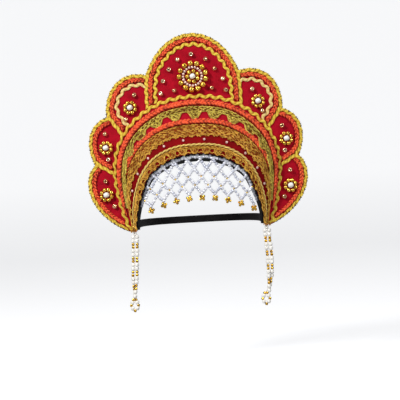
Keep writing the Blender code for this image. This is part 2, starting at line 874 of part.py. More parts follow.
def build_forehead_net(material):
    builder = bmesh.new()
    for cell in net_cells():
        builder.faces.new([builder.verts.new((x, 0.0, z)) for x, z in cell])
    bmesh.ops.remove_doubles(builder, verts=builder.verts, dist=NET_WELD)
    faces = list(builder.faces)
    bmesh.ops.inset_individual(builder, faces=faces, thickness=NET_STRAND / 2, use_even_offset=True)
    bmesh.ops.delete(builder, geom=faces, context="FACES")
    for vert in builder.verts:
        vert.co.y = net_front(vert.co.x)
    net = add_object("forehead_net", builder, material, smooth=False)
    wall = net.modifiers.new("strand", "SOLIDIFY")
    wall.thickness = NET_THICKNESS
    wall.offset = 0.0
    return net


def build_net_drops(material):
    """A drop of gold beads under each tip of the net."""
    for number, x in enumerate(net_tip_places(), start=1):
        x, tip = net_knot(NET_ROWS - 1, x)
        builder = bmesh.new()
        bmesh.ops.create_uvsphere(builder, u_segments=BEAD_SIDES, v_segments=4, radius=1.0)
        for vert in builder.verts:
            vert.co = Vector((
                vert.co.x * DROP_RADIUS + x,
                vert.co.y * DROP_RADIUS + net_front(x),
                (vert.co.z - 1.0) * DROP_HEIGHT / 2 + tip - GAP,
            ))
        add_object("net_drop_{}".format(number), builder, material)


# Temple strings

def build_temple_string(side, material):
    x_foot, z_foot = polar(FOOT_ANGLE, opening_radius(FOOT_ANGLE))
    x_top = x_foot + BROW_WALL
    y_foot = (rim_front(z_foot) + head_band_back(FOOT_ANGLE)) / 2
    top = (x_top + STRING_RADIUS) / math.tan(FOOT_ANGLE) - HEAD_RADIUS - 2 * GAP
    curve = bpy.data.curves.new("temple_string_" + side, "CURVE")
    curve.dimensions = "3D"
    curve.bevel_depth = STRING_RADIUS
    curve.bevel_resolution = 2
    curve.use_fill_caps = True
    curve.materials.append(material)
    line = curve.splines.new("POLY")
    route = STRING_ROUTES[side]
    line.points.add(len(route) - 1)
    for point, (sideways, down) in zip(line.points, route):
        place = (SIDES[side] * x_top + sideways, y_foot, top + down)
        point.co = (*place, 1.0)
    item = bpy.data.objects.new("temple_string_" + side, curve)
    bpy.context.scene.collection.objects.link(item)
    return item


def main():
    clear_scene()
    velvet = make_material("crimson_velvet", (0.42, 0.01, 0.02), 0.9)
    dark_velvet = make_material("dark_red_velvet", (0.26, 0.006, 0.005), 0.9)
    black = make_material("black_cloth", (0.012, 0.011, 0.012), 0.9)
    braid = make_material("yellow_braid", (0.75, 0.46, 0.06), 0.6)
    pale_braid = make_material("pale_braid", (0.82, 0.62, 0.2), 0.6)
    rope = make_material("orange_rope", (0.66, 0.06, 0.03), 0.7)
    lace = make_material("gold_lace", (0.45, 0.2, 0.03), 0.45, 0.5)
    gold = make_material("gold_bead", (0.8, 0.5, 0.12), 0.25, 1.0)
    pearl = make_material("pearl", (0.86, 0.82, 0.76), 0.3)
    build_front_panel(velvet)
    build_brow_band(dark_velvet)
    build_head_band(black)
    build_nape_elastic(black)
    build_arch_braid(braid)
    build_lobe_trims(braid, rope, pale_braid)
    build_crescent(rope, lace, braid)
    build_rosettes(gold, pearl)
    build_forehead_net(pearl)
    build_net_drops(gold)
    for side in SIDES:
        build_temple_string(side, pearl)


main()
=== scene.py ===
"""Looks of the kokoshnik headdress: velvet, braids, ropes, laces, bead rosettes, net and strings."""

import logging
import math
from dataclasses import dataclass, field
from enum import Enum
from functools import cached_property
from typing import Any, Sequence

import bpy
import numpy as np
from mathutils import Matrix, Vector


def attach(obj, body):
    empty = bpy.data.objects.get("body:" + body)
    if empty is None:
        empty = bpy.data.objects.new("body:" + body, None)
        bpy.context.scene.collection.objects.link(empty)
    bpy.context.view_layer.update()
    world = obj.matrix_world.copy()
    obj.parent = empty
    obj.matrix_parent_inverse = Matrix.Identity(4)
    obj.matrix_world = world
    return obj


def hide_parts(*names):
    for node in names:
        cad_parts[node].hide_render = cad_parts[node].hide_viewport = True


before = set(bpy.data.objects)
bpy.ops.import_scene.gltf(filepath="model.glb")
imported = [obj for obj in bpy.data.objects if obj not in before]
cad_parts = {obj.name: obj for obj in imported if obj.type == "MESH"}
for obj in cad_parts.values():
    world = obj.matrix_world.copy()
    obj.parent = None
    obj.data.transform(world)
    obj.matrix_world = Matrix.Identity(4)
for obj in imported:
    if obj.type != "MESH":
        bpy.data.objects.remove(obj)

Array = np.ndarray
Colour = tuple[float, float, float]
Node = bpy.types.Node
Socket = bpy.types.NodeSocket
LOG = logging.getLogger("kokoshnik")
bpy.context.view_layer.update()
SEED = 9153

# Points along and lines across a bed on the brow band, and degrees from which edges stay sharp
RAMP_POINTS = 361
RAMP_LINES = 7
BRAID_SHARP = 60.0
THREAD_SHARP = 80.0

# The same tables as the solids have: shares of the layout's sizes, from the arch's top to its foot
STATION_COLUMNS = (
    "turn", "depth", "opening", "seat", "rope_top", "rope_foot", "lace_top", "lace_band",
    "lace_tips", "rope_two_foot", "lace_two_foot", "cord_top", "cord_foot",
)
STATIONS = np.array((
    (0.000, 1.000, 1.000, 1.000, 0.080, 0.169, 0.183, 0.287, 0.408, 0.503, 0.707, 0.840, 0.882),
    (0.186, 0.980, 1.007, 1.010, 0.082, 0.172, 0.187, 0.287, 0.393, 0.486, 0.674, 0.819, 0.861),
    (0.371, 0.863, 1.017, 1.037, 0.092, 0.195, 0.212, 0.310, 0.377, 0.469, 0.685, 0.805, 0.853),
    (0.495, 0.715, 1.016, 1.050, 0.108, 0.224, 0.240, 0.320, 0.364, 0.464, 0.690, 0.815, 0.870),
    (0.619, 0.558, 0.975, 1.019, 0.127, 0.265, 0.282, 0.350, 0.386, 0.444, 0.600, 0.767, 0.825),
    (0.742, 0.376, 0.963, 1.016, 0.165, 0.310, 0.330, 0.400, 0.424, 0.450, 0.580, 0.724, 0.800),
    (0.866, 0.228, 0.969, 1.028, 0.240, 0.330, 0.360, 0.420, 0.440, 0.460, 0.600, 0.680, 0.790),
    (1.000, 0.096, 0.991, 1.052, 0.500, 0.510, 0.520, 0.530, 0.540, 0.550, 0.620, 0.660, 0.800),
))
LOBE_COLUMNS = ("end", "reach", "bulge", "skew", "fullness", "border", "rosette", "rosette_reach")
LOBE_TABLE = np.array((
    (17.8, 0.507, 0.493, 0.0, 1.10, 23.8, 0.0, 0.311),
    (39.7, 0.396, 0.200, 0.0, 1.00, 40.7, 29.1, 0.195),
    (60.1, 0.360, 0.147, 0.0, 1.00, 60.5, 49.9, 0.193),
    (97.0, 0.033, 0.250, 0.3, 1.00, 97.0, 72.6, 0.196),
))


class Side(Enum):
    """A half of the headdress, as seen from the front."""

    LEFT = -1.0
    RIGHT = 1.0


class Lobe(Enum):
    """A lobe of the panel, from the centre down."""

    CENTRE = 0
    UPPER = 1
    MIDDLE = 2
    LOWER = 3

    def column(self, name: str) -> float:
        """A value of this lobe from the table."""
        return float(LOBE_TABLE[self.value, LOBE_COLUMNS.index(name)])


def lobe_places() -> list[tuple[str, Lobe, Side]]:
    """Every lobe with its label and side; the centre counts as right.

    Returns:
        The label that the nodes use, the lobe and its side.
    """
    places = [("centre", Lobe.CENTRE, Side.RIGHT)]
    for lobe in (Lobe.UPPER, Lobe.MIDDLE, Lobe.LOWER):
        places += [(f"{lobe.name.lower()}_{side.name.lower()}", lobe, side) for side in Side]
    return places


def linear(red: int, green: int, blue: int) -> Colour:
    """A screen colour from 0 to 255 as Blender's linear one."""
    values = [v / 255.0 for v in (red, green, blue)]
    return tuple(v / 12.92 if v <= 0.04045 else ((v + 0.055) / 1.055) ** 2.4 for v in values)


def unit(vectors: Array) -> Array:
    """Vectors scaled to length one."""
    return vectors / np.maximum(np.linalg.norm(vectors, axis=-1, keepdims=True), 1e-12)


def steps_of(points: Array) -> Array:
    """Lengths of a line's steps."""
    return np.linalg.norm(np.diff(points, axis=0), axis=1)


def distances(points: Array) -> Array:
    """How far along a line each of its points lies."""
    return np.concatenate(([0.0], np.cumsum(steps_of(points))))


def circle(turn: Array) -> Array:
    """Points of the unit circle."""
    return np.stack((np.cos(turn), np.sin(turn)), axis=1)


def resample(points: Array, count: int) -> Array:
    """Points at equal steps along a line.

    Args:
        points: Line of any dimension, one row a point.
        count: How many points to give.

    Returns:
        The new points.
    """
    lengths = distances(points)
    wanted = np.linspace(0.0, lengths[-1], count)
    return np.stack([np.interp(wanted, lengths, column) for column in points.T], axis=1)


@dataclass(frozen=True)
class Layout:
    """Sizes, lines and surfaces that the pieces share with the solids, in metres."""

    head_radius: float = 0.0670
    opening_step: float = 0.0077
    brow_depth: float = 0.0676
    panel_rise: float = 0.0747
    panel_wall: float = 0.0030
    panel_sweep: float = 0.0120
    panel_lean: float = math.radians(4.0)
    foot_angle: float = math.radians(97.0)
    rim_reach: float = 0.0280
    rim_step: float = 0.0010
    brow_wall: float = 0.0024
    brow_swell: float = 0.0030
    head_band_wall: float = 0.0020
    head_band_tail: float = 0.0012
    gap: float = 0.0003
    trim_gap: float = 0.0005
    braid_width: float = 0.0056
    corner_round: float = 0.0045
    corner_ease: float = 0.3
    corner_points: int = 16
    outline_points: int = 321
    border_points: int = 160
    start_rounds: int = 12

    @property
    def opening(self) -> float:
        """Radius of the face opening at its top."""
        return self.head_radius + self.opening_step

    def station(self, column: str, angle: Array) -> Array:
        """Read a column of the table at an angle, as a smooth curve through its rows.

        Args:
            column: Name of the column.
            angle: Angles from straight up, in radians.

        Returns:
            The values at the angles.
        """
        turns = STATIONS[:, 0]
        values = STATIONS[:, STATION_COLUMNS.index(column)]
        slopes = np.zeros(len(turns))
        slopes[1:-1] = (values[2:] - values[:-2]) / (turns[2:] - turns[:-2])
        slopes[-1] = (values[-1] - values[-2]) / (turns[-1] - turns[-2])
        turn = np.minimum(np.abs(angle) / self.foot_angle, 1.0)
        low = np.searchsorted(turns[1:-1], turn, side="left")
        span = turns[low + 1] - turns[low]
        t = (turn - turns[low]) / span
        return (
            (2 * t ** 3 - 3 * t ** 2 + 1) * values[low]
            + (t ** 3 - 2 * t ** 2 + t) * span * slopes[low]
            + (3 * t ** 2 - 2 * t ** 3) * values[low + 1]
            + (t ** 3 - t ** 2) * span * slopes[low + 1]
        )

    def opening_radius(self, angle: Array) -> Array:
        """Radius of the face opening."""
        return self.opening * self.station("opening", angle)

    def seat_radius(self, angle: Array) -> Array:
        """Radius of the head band's underside at the back."""
        return self.head_radius * self.station("seat", angle)

    def depth(self, angle: Array) -> Array:
        """How far the arch lies outside the opening."""
        return self.brow_depth * self.station("depth", angle)

    def arch_radius(self, angle: Array) -> Array:
        """Radius of the seam between panel and brow band."""
        return self.opening_radius(angle) + self.depth(angle)

    def outline_radius(self, angle: Array) -> Array:
        """Radius of the panel's lobed outline."""
        turn = np.degrees(np.abs(angle))
        ends = LOBE_TABLE[:, 0]
        index = np.clip(np.searchsorted(ends, turn - 1e-6, side="left"), 0, 3)
        row = LOBE_TABLE[index]
        before = LOBE_TABLE[np.maximum(index - 1, 0)]
        centre = index == 0
        start = np.where(centre, -row[..., 0], before[..., 0])
        share = np.clip((turn - start) / (row[..., 0] - start), 0.0, 1.0)
        reach = before[..., 1] + (row[..., 1] - before[..., 1]) * share
        chord = np.where(centre, row[..., 1], reach)
        rise = (4.0 * share * (1.0 - share)) ** row[..., 4] * (1.0 + row[..., 3] * (1.0 - 2.0 * share))
        return self.arch_radius(angle) + self.panel_rise * (chord + row[..., 2] * rise)

    def polar(self, angle: Array, radius: Array) -> Array:
        """X and Z of points round the arch centre."""
        return np.stack((radius * np.sin(angle), radius * np.cos(angle) - self.head_radius), axis=-1)

    @cached_property
    def foot(self) -> Array:
        """X and Z of the opening's right foot."""
        angle = np.array(self.foot_angle)
        return self.polar(angle, self.opening_radius(angle))

    @cached_property
    def half_width(self) -> float:
        """Half the width of the panel."""
        angles = np.radians(np.arange(30.0, 97.0))
        return float(np.max(self.outline_radius(angles) * np.sin(angles)))

    def panel_front(self, x: Array, z: Array) -> Array:
        """Y of the panel's front face."""
        sweep = self.panel_sweep * (x / self.half_width) ** 2
        return sweep + math.tan(self.panel_lean) * (z - self.foot[1])

    def panel_point(self, places: Array) -> Array:
        """Points of the panel's front face at X and Z."""
        x, z = places[..., 0], places[..., 1]
        return np.stack((x, self.panel_front(x, z), z), axis=-1)

    def panel_normal(self, places: Array) -> Array:
        """Directions out of the panel's front face."""
        slope = 2.0 * self.panel_sweep * places[..., 0] / self.half_width ** 2
        lean = np.full_like(slope, math.tan(self.panel_lean))
        return unit(np.stack((slope, -np.ones_like(slope), lean), axis=-1))

    def rim_front(self, z: Array) -> Array:
        """Y of the edge of the face opening."""
        start = self.panel_front(*self.foot) - self.gap - self.brow_wall - self.rim_step
        height = self.opening - self.head_radius - self.foot[1]
        return start - self.rim_reach * (z - self.foot[1]) / height

    def seam_share(self, angle: Array) -> Array:
        """Where the brow band starts, just inside the arch braid."""
        return (self.braid_width / 2 + self.trim_gap) / self.depth(angle)

    def ramp_polar(self, angle: Array, share: Array) -> Array:
        """X and Z at a share of the way from the arch to the opening."""
        return self.polar(angle, self.arch_radius(angle) - self.depth(angle) * share)

    def ramp_point(self, angle: Array, share: Array) -> Array:
        """Points of the brow band's front face.

        Args:
            angle: Angles from straight up.
            share: Shares of the way from the arch to the opening.

        Returns:
            The points.
        """
        angle, share = np.broadcast_arrays(angle, share)
        start = self.seam_share(angle)
        seam = self.ramp_polar(angle, start)
        y_seam = self.panel_front(seam[..., 0], seam[..., 1]) - self.gap - self.brow_wall
        y_rim = self.rim_front(self.ramp_polar(angle, np.ones_like(share))[..., 1])
        t = (share - start) / (1.0 - start)
        swell = self.brow_swell * 4.0 * t * (1.0 - t) * np.cos(angle * math.pi / 2 / self.foot_angle)
        place = self.ramp_polar(angle, share)
        return np.stack((place[..., 0], y_seam + (y_rim - y_seam) * t - swell, place[..., 1]), axis=-1)

    def ramp_normal(self, angle: Array, share: Array) -> Array:
        """Directions out of the brow band's front face."""
        step = 0.002
        across = self.ramp_point(angle, share + step) - self.ramp_point(angle, share - step)
        along = self.ramp_point(angle + step, share) - self.ramp_point(angle - step, share)
        normal = unit(np.cross(across, along))
        return np.where(normal[..., 1:2] > 0.0, -normal, normal)

    def head_band_back(self, angle: Array) -> Array:
        """Y of the head band's back edge."""
        seat = self.polar(angle, self.seat_radius(angle))
        return self.panel_front(seat[..., 0], seat[..., 1]) + self.panel_wall + self.head_band_tail

    def head_band_radius(self, angle: Array, y: Array) -> Array:
        """Radius of the head band's inner face at a depth."""
        front = self.rim_front(self.polar(angle, self.opening_radius(angle))[..., 1])
        back = self.head_band_back(angle)
        t = np.clip((y - front) / (back - front), 0.0, 1.0)
        return self.opening_radius(angle) + (self.seat_radius(angle) - self.opening_radius(angle)) * t

    def head_band_front(self, angle: Array) -> Array:
        """Y where the head band starts, behind the brow band's wall."""
        share = 1.0 - (self.head_band_wall + self.gap) / self.depth(angle)
        return self.ramp_point(angle, share)[..., 1] + self.brow_wall + self.gap

    def border_angle(self, lobe: Lobe, radius: Array) -> Array:
        """Angle of the border below a lobe, at a radius."""
        top = np.array(math.radians(lobe.column("end")))
        foot = np.array(math.radians(lobe.column("border")))
        top_radius = self.outline_radius(top)
        t = np.clip((top_radius - radius) / (top_radius - self.arch_radius(foot)), 0.0, 1.0)
        return top + (foot - top) * t

    def inset_radius(self, lobe: Lobe, angle: Array, inset: float) -> Array:
        """Radius of the line that runs an inset inside a lobe's outline."""
        step = 0.01
        end = math.radians(lobe.column("end"))
        start = -end if lobe is Lobe.CENTRE else math.radians(Lobe(lobe.value - 1).column("end"))
        low = np.where(angle - step < start, angle, angle - step)
        high = np.where(angle + step > end, angle, angle + step)
        slope = (self.outline_radius(high) - self.outline_radius(low)) / (high - low)
        radius = self.outline_radius(angle)
        return radius - inset * np.sqrt(1.0 + (slope / radius) ** 2)

    def arch_stop(self, angle: Array) -> Array:
        """Radius where the lobes' trims meet the arch braid."""
        return self.arch_radius(angle) + self.braid_width / 2 + self.trim_gap

    def lobe_line(self, lobe: Lobe, inset: float, count: int) -> Array:
        """Line inside a lobe of the right half: along its outline, then down its border.

        Args:
            lobe: The lobe.
            inset: How far inside the outline the line runs.
            count: How many points to give.

        Returns:
            X and Z of the points.
        """
        start = np.array(0.0)
        if lobe is not Lobe.CENTRE:
            above = Lobe(lobe.value - 1)
            start = np.array(math.radians(above.column("end")))
            for _ in range(self.start_rounds):
                radius = self.inset_radius(lobe, start + 1e-4, inset)
                start = self.border_angle(above, radius) + self.trim_gap / radius
        angle = np.linspace(start, math.radians(lobe.column("end")), self.outline_points)
        radius = self.inset_radius(lobe, angle, inset)
        stop = radius < self.arch_stop(angle)
        if lobe is not Lobe.LOWER:
            stop |= angle > self.border_angle(lobe, radius) - inset / radius
        kept = int(np.argmax(stop)) if stop.any() else len(angle)
        outline = self.polar(angle[:kept], radius[:kept])
        if lobe is Lobe.LOWER:
            return resample(outline, count)
        steps = np.arange(1, self.border_points + 1) / (2 * self.border_points)
        border_radius = radius[kept - 1] * (1.0 - steps)
        border_angle = self.border_angle(lobe, border_radius) - inset / border_radius
        inside = border_radius >= self.arch_stop(border_angle)
        border_kept = int(np.argmin(inside)) if not inside.all() else len(inside)
        border = self.polar(border_angle[:border_kept], border_radius[:border_kept])
        ease = self.corner_round + inset * self.corner_ease
        return resample(self.round_corner(outline, border, ease), count)

    def round_corner(self, before: Array, after: Array, radius: float) -> Array:
        """Join two lines that meet in a corner by a short curve.

        Args:
            before: Line up to the corner.
            after: Line that leaves it.
            radius: How far from the corner the curve starts.

        Returns:
            The joined line.
        """
        corner = before[-1]
        first = before[np.linalg.norm(before - corner, axis=1) > radius]
        second = after[np.linalg.norm(after - corner, axis=1) > radius]
        t = np.linspace(0.0, 1.0, self.corner_points)[1:-1, None]
        curve = (1 - t) ** 2 * first[-1] + 2 * t * (1 - t) * corner + t ** 2 * second[0]
        return np.concatenate((first, curve, second))

    def rosette_place(self, lobe: Lobe, side: Side) -> Array:
        """X and Z of a rosette's middle."""
        angle = np.array(math.radians(lobe.column("rosette")))
        radius = self.arch_radius(angle) + self.panel_rise * lobe.column("rosette_reach")
        return self.polar(angle, radius) * np.array((side.value, 1.0))


LAYOUT = Layout()


@dataclass(frozen=True)
class Bed:
    """A strip of surface that a trim is sewn to, as a grid of points and normals.

    columns and normals hold one line of points for each place across the strip.
    """

    columns: Array
    normals: Array
    along: Array
    half: Array

    @classmethod
    def from_grid(cls, columns: Array, normals: Array) -> "Bed":
        """The bed of a grid of points, as (across, along, 3), with their normals."""
        half = np.linalg.norm(columns[-1] - columns[0], axis=1) / 2
        return cls(columns, normals, distances(columns[len(columns) // 2]), half)

    @classmethod
    def on_panel(cls, line_a: Array, line_b: Array) -> "Bed":
        """The bed between two lines of X and Z on the panel."""
        shares = np.linspace(0.0, 1.0, 3)[:, None, None]
        places = line_a + (line_b - line_a) * shares
        return cls.from_grid(LAYOUT.panel_point(places), LAYOUT.panel_normal(places))

    @classmethod
    def on_ramp(cls, top: str, foot: str, end: float) -> "Bed":
        """The bed between two columns of the table on the brow band.

        Args:
            top: Column of the upper line.
            foot: Column of the lower line, or edge for the opening's edge.
            end: How far down the trim runs, in degrees.

        Returns:
            The bed.
        """
        angle = np.radians(np.linspace(-end, end, RAMP_POINTS))
        margin = LAYOUT.trim_gap / 2 / LAYOUT.depth(angle)
        first = LAYOUT.station(top, angle) + margin
        last = (np.ones_like(angle) if foot == "edge" else LAYOUT.station(foot, angle)) - margin
        shares = first + (last - first) * np.linspace(0.0, 1.0, RAMP_LINES)[:, None]
        angles = np.broadcast_to(angle, shares.shape)
        return cls.from_grid(LAYOUT.ramp_point(angles, shares), LAYOUT.ramp_normal(angles, shares))

    @property
    def length(self) -> float:
        """Length along the middle."""
        return float(self.along[-1])

    def half_at(self, distance: Array) -> Array:
        """Half the width at a distance along."""
        return np.interp(distance, self.along, self.half)

    def read(self, grid: Array, distance: Array, share: Array) -> Array:
        """Read a grid between its points, going on straight past its edges."""
        places = (share + 1.0) * (len(grid) - 1) / 2
        low = np.clip(np.floor(places), 0, len(grid) - 2).astype(int)
        t = (places - low)[..., None]
        at = np.clip(np.searchsorted(self.along, distance) - 1, 0, len(self.along) - 2)
        f = ((distance - self.along[at]) / (self.along[at + 1] - self.along[at]))[..., None]
        near = grid[low, at] * (1 - f) + grid[low, at + 1] * f
        far = grid[low + 1, at] * (1 - f) + grid[low + 1, at + 1] * f
        return near * (1 - t) + far * t

    def place(self, distance: Array, share: Array, height: Array) -> Array:
        """Points over the bed, by metres along, shares across from -1 to 1 and metres out of it."""
        distance, share, height = np.broadcast_arrays(distance, share, height)
        return self.read(self.columns, distance, share) + self.normal(distance, share) * height[..., None]

    def normal(self, distance: Array, share: Array) -> Array:
        """Directions out of the surface."""
        distance, share = np.broadcast_arrays(distance, share)
        return unit(self.read(self.normals, distance, share))


class Shape:
    """A small closed mesh that is used again and again."""

    def __init__(self, points: Array, faces: list[list[int]]) -> None:
        """Keep the points and faces."""
        self.points = points
        self.faces = faces

    @classmethod
    def ball(cls, sides: int, rings: int) -> "Shape":
        """A ball of radius one with its poles on Z."""
        points = [(0.0, 0.0, -1.0)]
        for ring in range(1, rings):
            tilt = math.pi * ring / rings
            for step in range(sides):
                turn = math.tau * step / sides
                points.append((
                    math.sin(tilt) * math.cos(turn), math.sin(tilt) * math.sin(turn), -math.cos(tilt),
                ))
        points.append((0.0, 0.0, 1.0))
        faces = []
        last = len(points) - 1
        for step in range(sides):
            after = (step + 1) % sides
            faces.append([0, 1 + after, 1 + step])
            top = 1 + (rings - 2) * sides
            faces.append([last, top + step, top + after])
            for ring in range(rings - 2):
                low = 1 + ring * sides
                faces.append([low + step, low + after, low + sides + after, low + sides + step])
        return cls(np.array(points), faces)

    @classmethod
    def pierced(cls, sides: int, rings: int, hole: float, length: float, square: float = 1.0) -> "Shape":
        """A bead with a hole along Z.

        Args:
            sides: Corners round the hole.
            rings: Corners of the wall's section.
            hole: Radius of the hole, as a share of the bead's.
            length: Half length of the bead, as a share of its radius.
            square: Below one, the wall's section is squarer than an ellipse.

        Returns:
            The bead, of radius one.
        """
        middle = (1.0 + hole) / 2
        wall = (1.0 - hole) / 2
        points = []
        for step in range(sides):
            turn = math.tau * step / sides
            for ring in range(rings):
                tilt = math.tau * ring / rings
                side = math.copysign(abs(math.cos(tilt)) ** square, math.cos(tilt))
                up = math.copysign(abs(math.sin(tilt)) ** square, math.sin(tilt))
                radius = middle + wall * side
                points.append((radius * math.cos(turn), radius * math.sin(turn), length * up))
        faces = []
        for step in range(sides):
            after = (step + 1) % sides
            for ring in range(rings):
                above = (ring + 1) % rings
                faces.append([
                    step * rings + ring, after * rings + ring, after * rings + above, step * rings + above,
                ])
        return cls(np.array(points), faces)


class Draft:
    """Points and faces gathered from many shapes, made into one object at the end."""

    def __init__(self) -> None:
        """Start empty."""
        self.points: list[Array] = []
        self.faces: list[list[int]] = []
        self.slots: list[int] = []
        # Each point's along, across and tone; on braids, ropes and the rim cord the tone also holds painted
        # shade.
        self.values: dict[str, list[Array]] = {"along": [], "across": [], "tint": []}
        self.count = 0

    def add(
        self, points: Array, faces: list[list[int]], slot: int = 0,
        along: Any = 0.0, across: Any = 0.0, tint: Any = 0.5,
    ) -> None:
        """Add a shape.

        Args:
            points: Its points, one row each.
            faces: Its faces, as indices of the points.
            slot: Which of the finishes it takes.
            along: Distance along a thread, one value or one a point.
            across: Place round or across a thread.
            tint: Shade of the thread or bead, from 0 to 1.
        """
        self.points.append(points)
        self.faces += [[i + self.count for i in face] for face in faces]
        self.slots += [slot] * len(faces)
        for name, value in (("along", along), ("across", across), ("tint", tint)):
            self.values[name].append(np.broadcast_to(value, (len(points),)))
        self.count += len(points)

    def sheet(
        self, grid: Array, slot: int = 0, closed: bool = False, flip: bool = False,
        along: Any = 0.0, across: Any = 0.0, tint: Any = 0.5,
    ) -> None:
        """Add a grid of points.

        Args:
            grid: Points, as (rows, columns, 3).
            slot: Which of the finishes it takes.
            closed: True if the last column meets the first.
            flip: True to turn the faces over.
            along: Distance along, for every point or one value.
            across: Place across, for every point or one value.
            tint: Shade, for every point or one value.
        """
        rows, columns = grid.shape[:2]
        index = np.arange(rows * columns).reshape(rows, columns)
        if closed:
            index = np.concatenate((index, index[:, :1]), axis=1)
        corners = (index[:-1, :-1], index[1:, :-1], index[1:, 1:], index[:-1, 1:])
        quads = np.stack([corner.ravel() for corner in corners], axis=1)
        if flip:
            quads = quads[:, ::-1]
        shape = (rows, columns)
        self.add(
            grid.reshape(-1, 3), quads.tolist(), slot, np.broadcast_to(along, shape).ravel(),
            np.broadcast_to(across, shape).ravel(), np.broadcast_to(tint, shape).ravel(),
        )

    def cap(self, ring: Array, slot: int = 0, flip: bool = False, tint: Any = 0.5) -> None:
        """Close the end of a tube with one face."""
        order = list(range(len(ring)))
        self.add(ring, [order[::-1] if flip else order], slot, tint=tint)

    def close_ends(
        self, first: Array, last: Array, slot: int = 0, flip: bool = False, tint: Any = 0.5,
    ) -> None:
        """Close both ends of a tube or a shell.

        Args:
            first: Outline of the first end.
            last: Outline of the last end.
            slot: Which of the finishes they take.
            flip: True to turn the first face over instead of the last.
            tint: Their shade.
        """
        self.cap(first, slot, flip=flip, tint=tint)
        self.cap(last, slot, flip=not flip, tint=tint)

    def tube(
        self, path: Array, radius: Any, sides: int = 6, slot: int = 0, tint: Any = 0.5,
        out: Array | None = None, flat: float = 1.0, closed: bool = False,
    ) -> None:
        """Add a thread.

        Args:
            path: Points of its middle line.
            radius: Its radius, one value or one a point.
            sides: Corners of its section.
            slot: Which of the finishes it takes.
            tint: Its shade.
            out: Directions out of the surface below it; the front if left out.
            flat: Its height as a share of its width.
            closed: True for a ring.
        """
        if closed:
            tangent = unit(np.roll(path, -1, axis=0) - np.roll(path, 1, axis=0))
        else:
            tangent = unit(np.gradient(path, axis=0))
        up = np.broadcast_to((0.0, -1.0, 0.0), path.shape) if out is None else out
        side = unit(np.cross(tangent, up))
        up = np.cross(side, tangent)
        turn = math.tau * np.arange(sides) / sides
        wide = np.broadcast_to(radius, (len(path),))[:, None, None]
        grid = path[:, None] + wide * (
            side[:, None] * np.cos(turn)[None, :, None] + up[:, None] * np.sin(turn)[None, :, None] * flat
        )
        along = distances(path)
        if closed:
            grid = np.concatenate((grid, grid[:1]))
            along = np.append(along, along[-1] + np.linalg.norm(path[0] - path[-1]))
        self.sheet(
            grid, slot, closed=True, along=along[:, None], across=turn[None, :] / math.tau, tint=tint,
        )
        if not closed:
            self.close_ends(grid[0], grid[-1], slot, tint=float(np.mean(tint)))

    def beads(
        self, shape: Shape, centres: Array, radius: Any, axes: Array | None = None,
        slot: int = 0, tint: Any = 0.5,
    ) -> None:
        """Add one bead at each centre.

        Args:
            shape: The bead, of radius one.
            centres: Where the beads' middles are.
            radius: The beads' radius, one value or one a bead.
            axes: Directions of the beads' Z; the front if left out.
            slot: Which of the finishes they take.
            tint: Their shade, one value or one a bead.
        """
        axis = unit(np.broadcast_to((0.0, -1.0, 0.0), centres.shape) if axes is None else axes)
        helper = np.where(np.abs(axis[:, 2:3]) > 0.9, (1.0, 0.0, 0.0), (0.0, 0.0, 1.0))
        side = unit(np.cross(helper, axis))
        other = np.cross(axis, side)
        sizes = np.broadcast_to(radius, (len(centres),))
        tints = np.broadcast_to(tint, (len(centres),))
        for i in range(len(centres)):
            basis = np.stack((side[i], other[i], axis[i]))
            points = centres[i] + shape.points @ basis * sizes[i]
            self.add(points, shape.faces, slot, across=shape.points[:, 2], tint=tints[i])

    def make(self, name: str, finishes: Sequence["Finish"], sharp: float = 50.0) -> bpy.types.Object:
        """Turn the draft into an object.

        Args:
            name: Its name.
            finishes: Its finishes, in the order of the slots.
            sharp: Edges that turn by more than this many degrees stay sharp.

        Returns:
            The object.
        """
        mesh = bpy.data.meshes.new(name)
        mesh.from_pydata(np.concatenate(self.points).tolist(), [], self.faces)
        for finish in finishes:
            mesh.materials.append(finish.material())
        mesh.polygons.foreach_set("material_index", self.slots)
        for label, parts in self.values.items():
            attribute = mesh.attributes.new(label, "FLOAT", "POINT")
            attribute.data.foreach_set("value", np.concatenate(parts).astype(np.float32))
        mesh.shade_smooth()
        mesh.set_sharp_from_angle(angle=math.radians(sharp))
        mesh.validate()
        item = bpy.data.objects.new(name, mesh)
        bpy.context.scene.collection.objects.link(item)
        return item

    def sew_on(
        self, name: str, finishes: Sequence["Finish"], slot: str, node: str = "", sharp: float = 50.0,
    ) -> None:
        """Make a piece that rides on the root body in place of its solid, and report it.

        Args:
            name: Its name.
            finishes: Its finishes, in the order of the slots.
            slot: Name of its material slot, which is only logged.
            node: The solid that it replaces; none for an added piece.
            sharp: Edges that turn by more than this many degrees stay sharp.
        """
        item = self.make(name, finishes, sharp)
        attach(item, "root")
        if node:
            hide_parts(node)
        LOG.info("%s: %d faces, slot %s", item.name, len(item.data.polygons), slot)


# Finishes


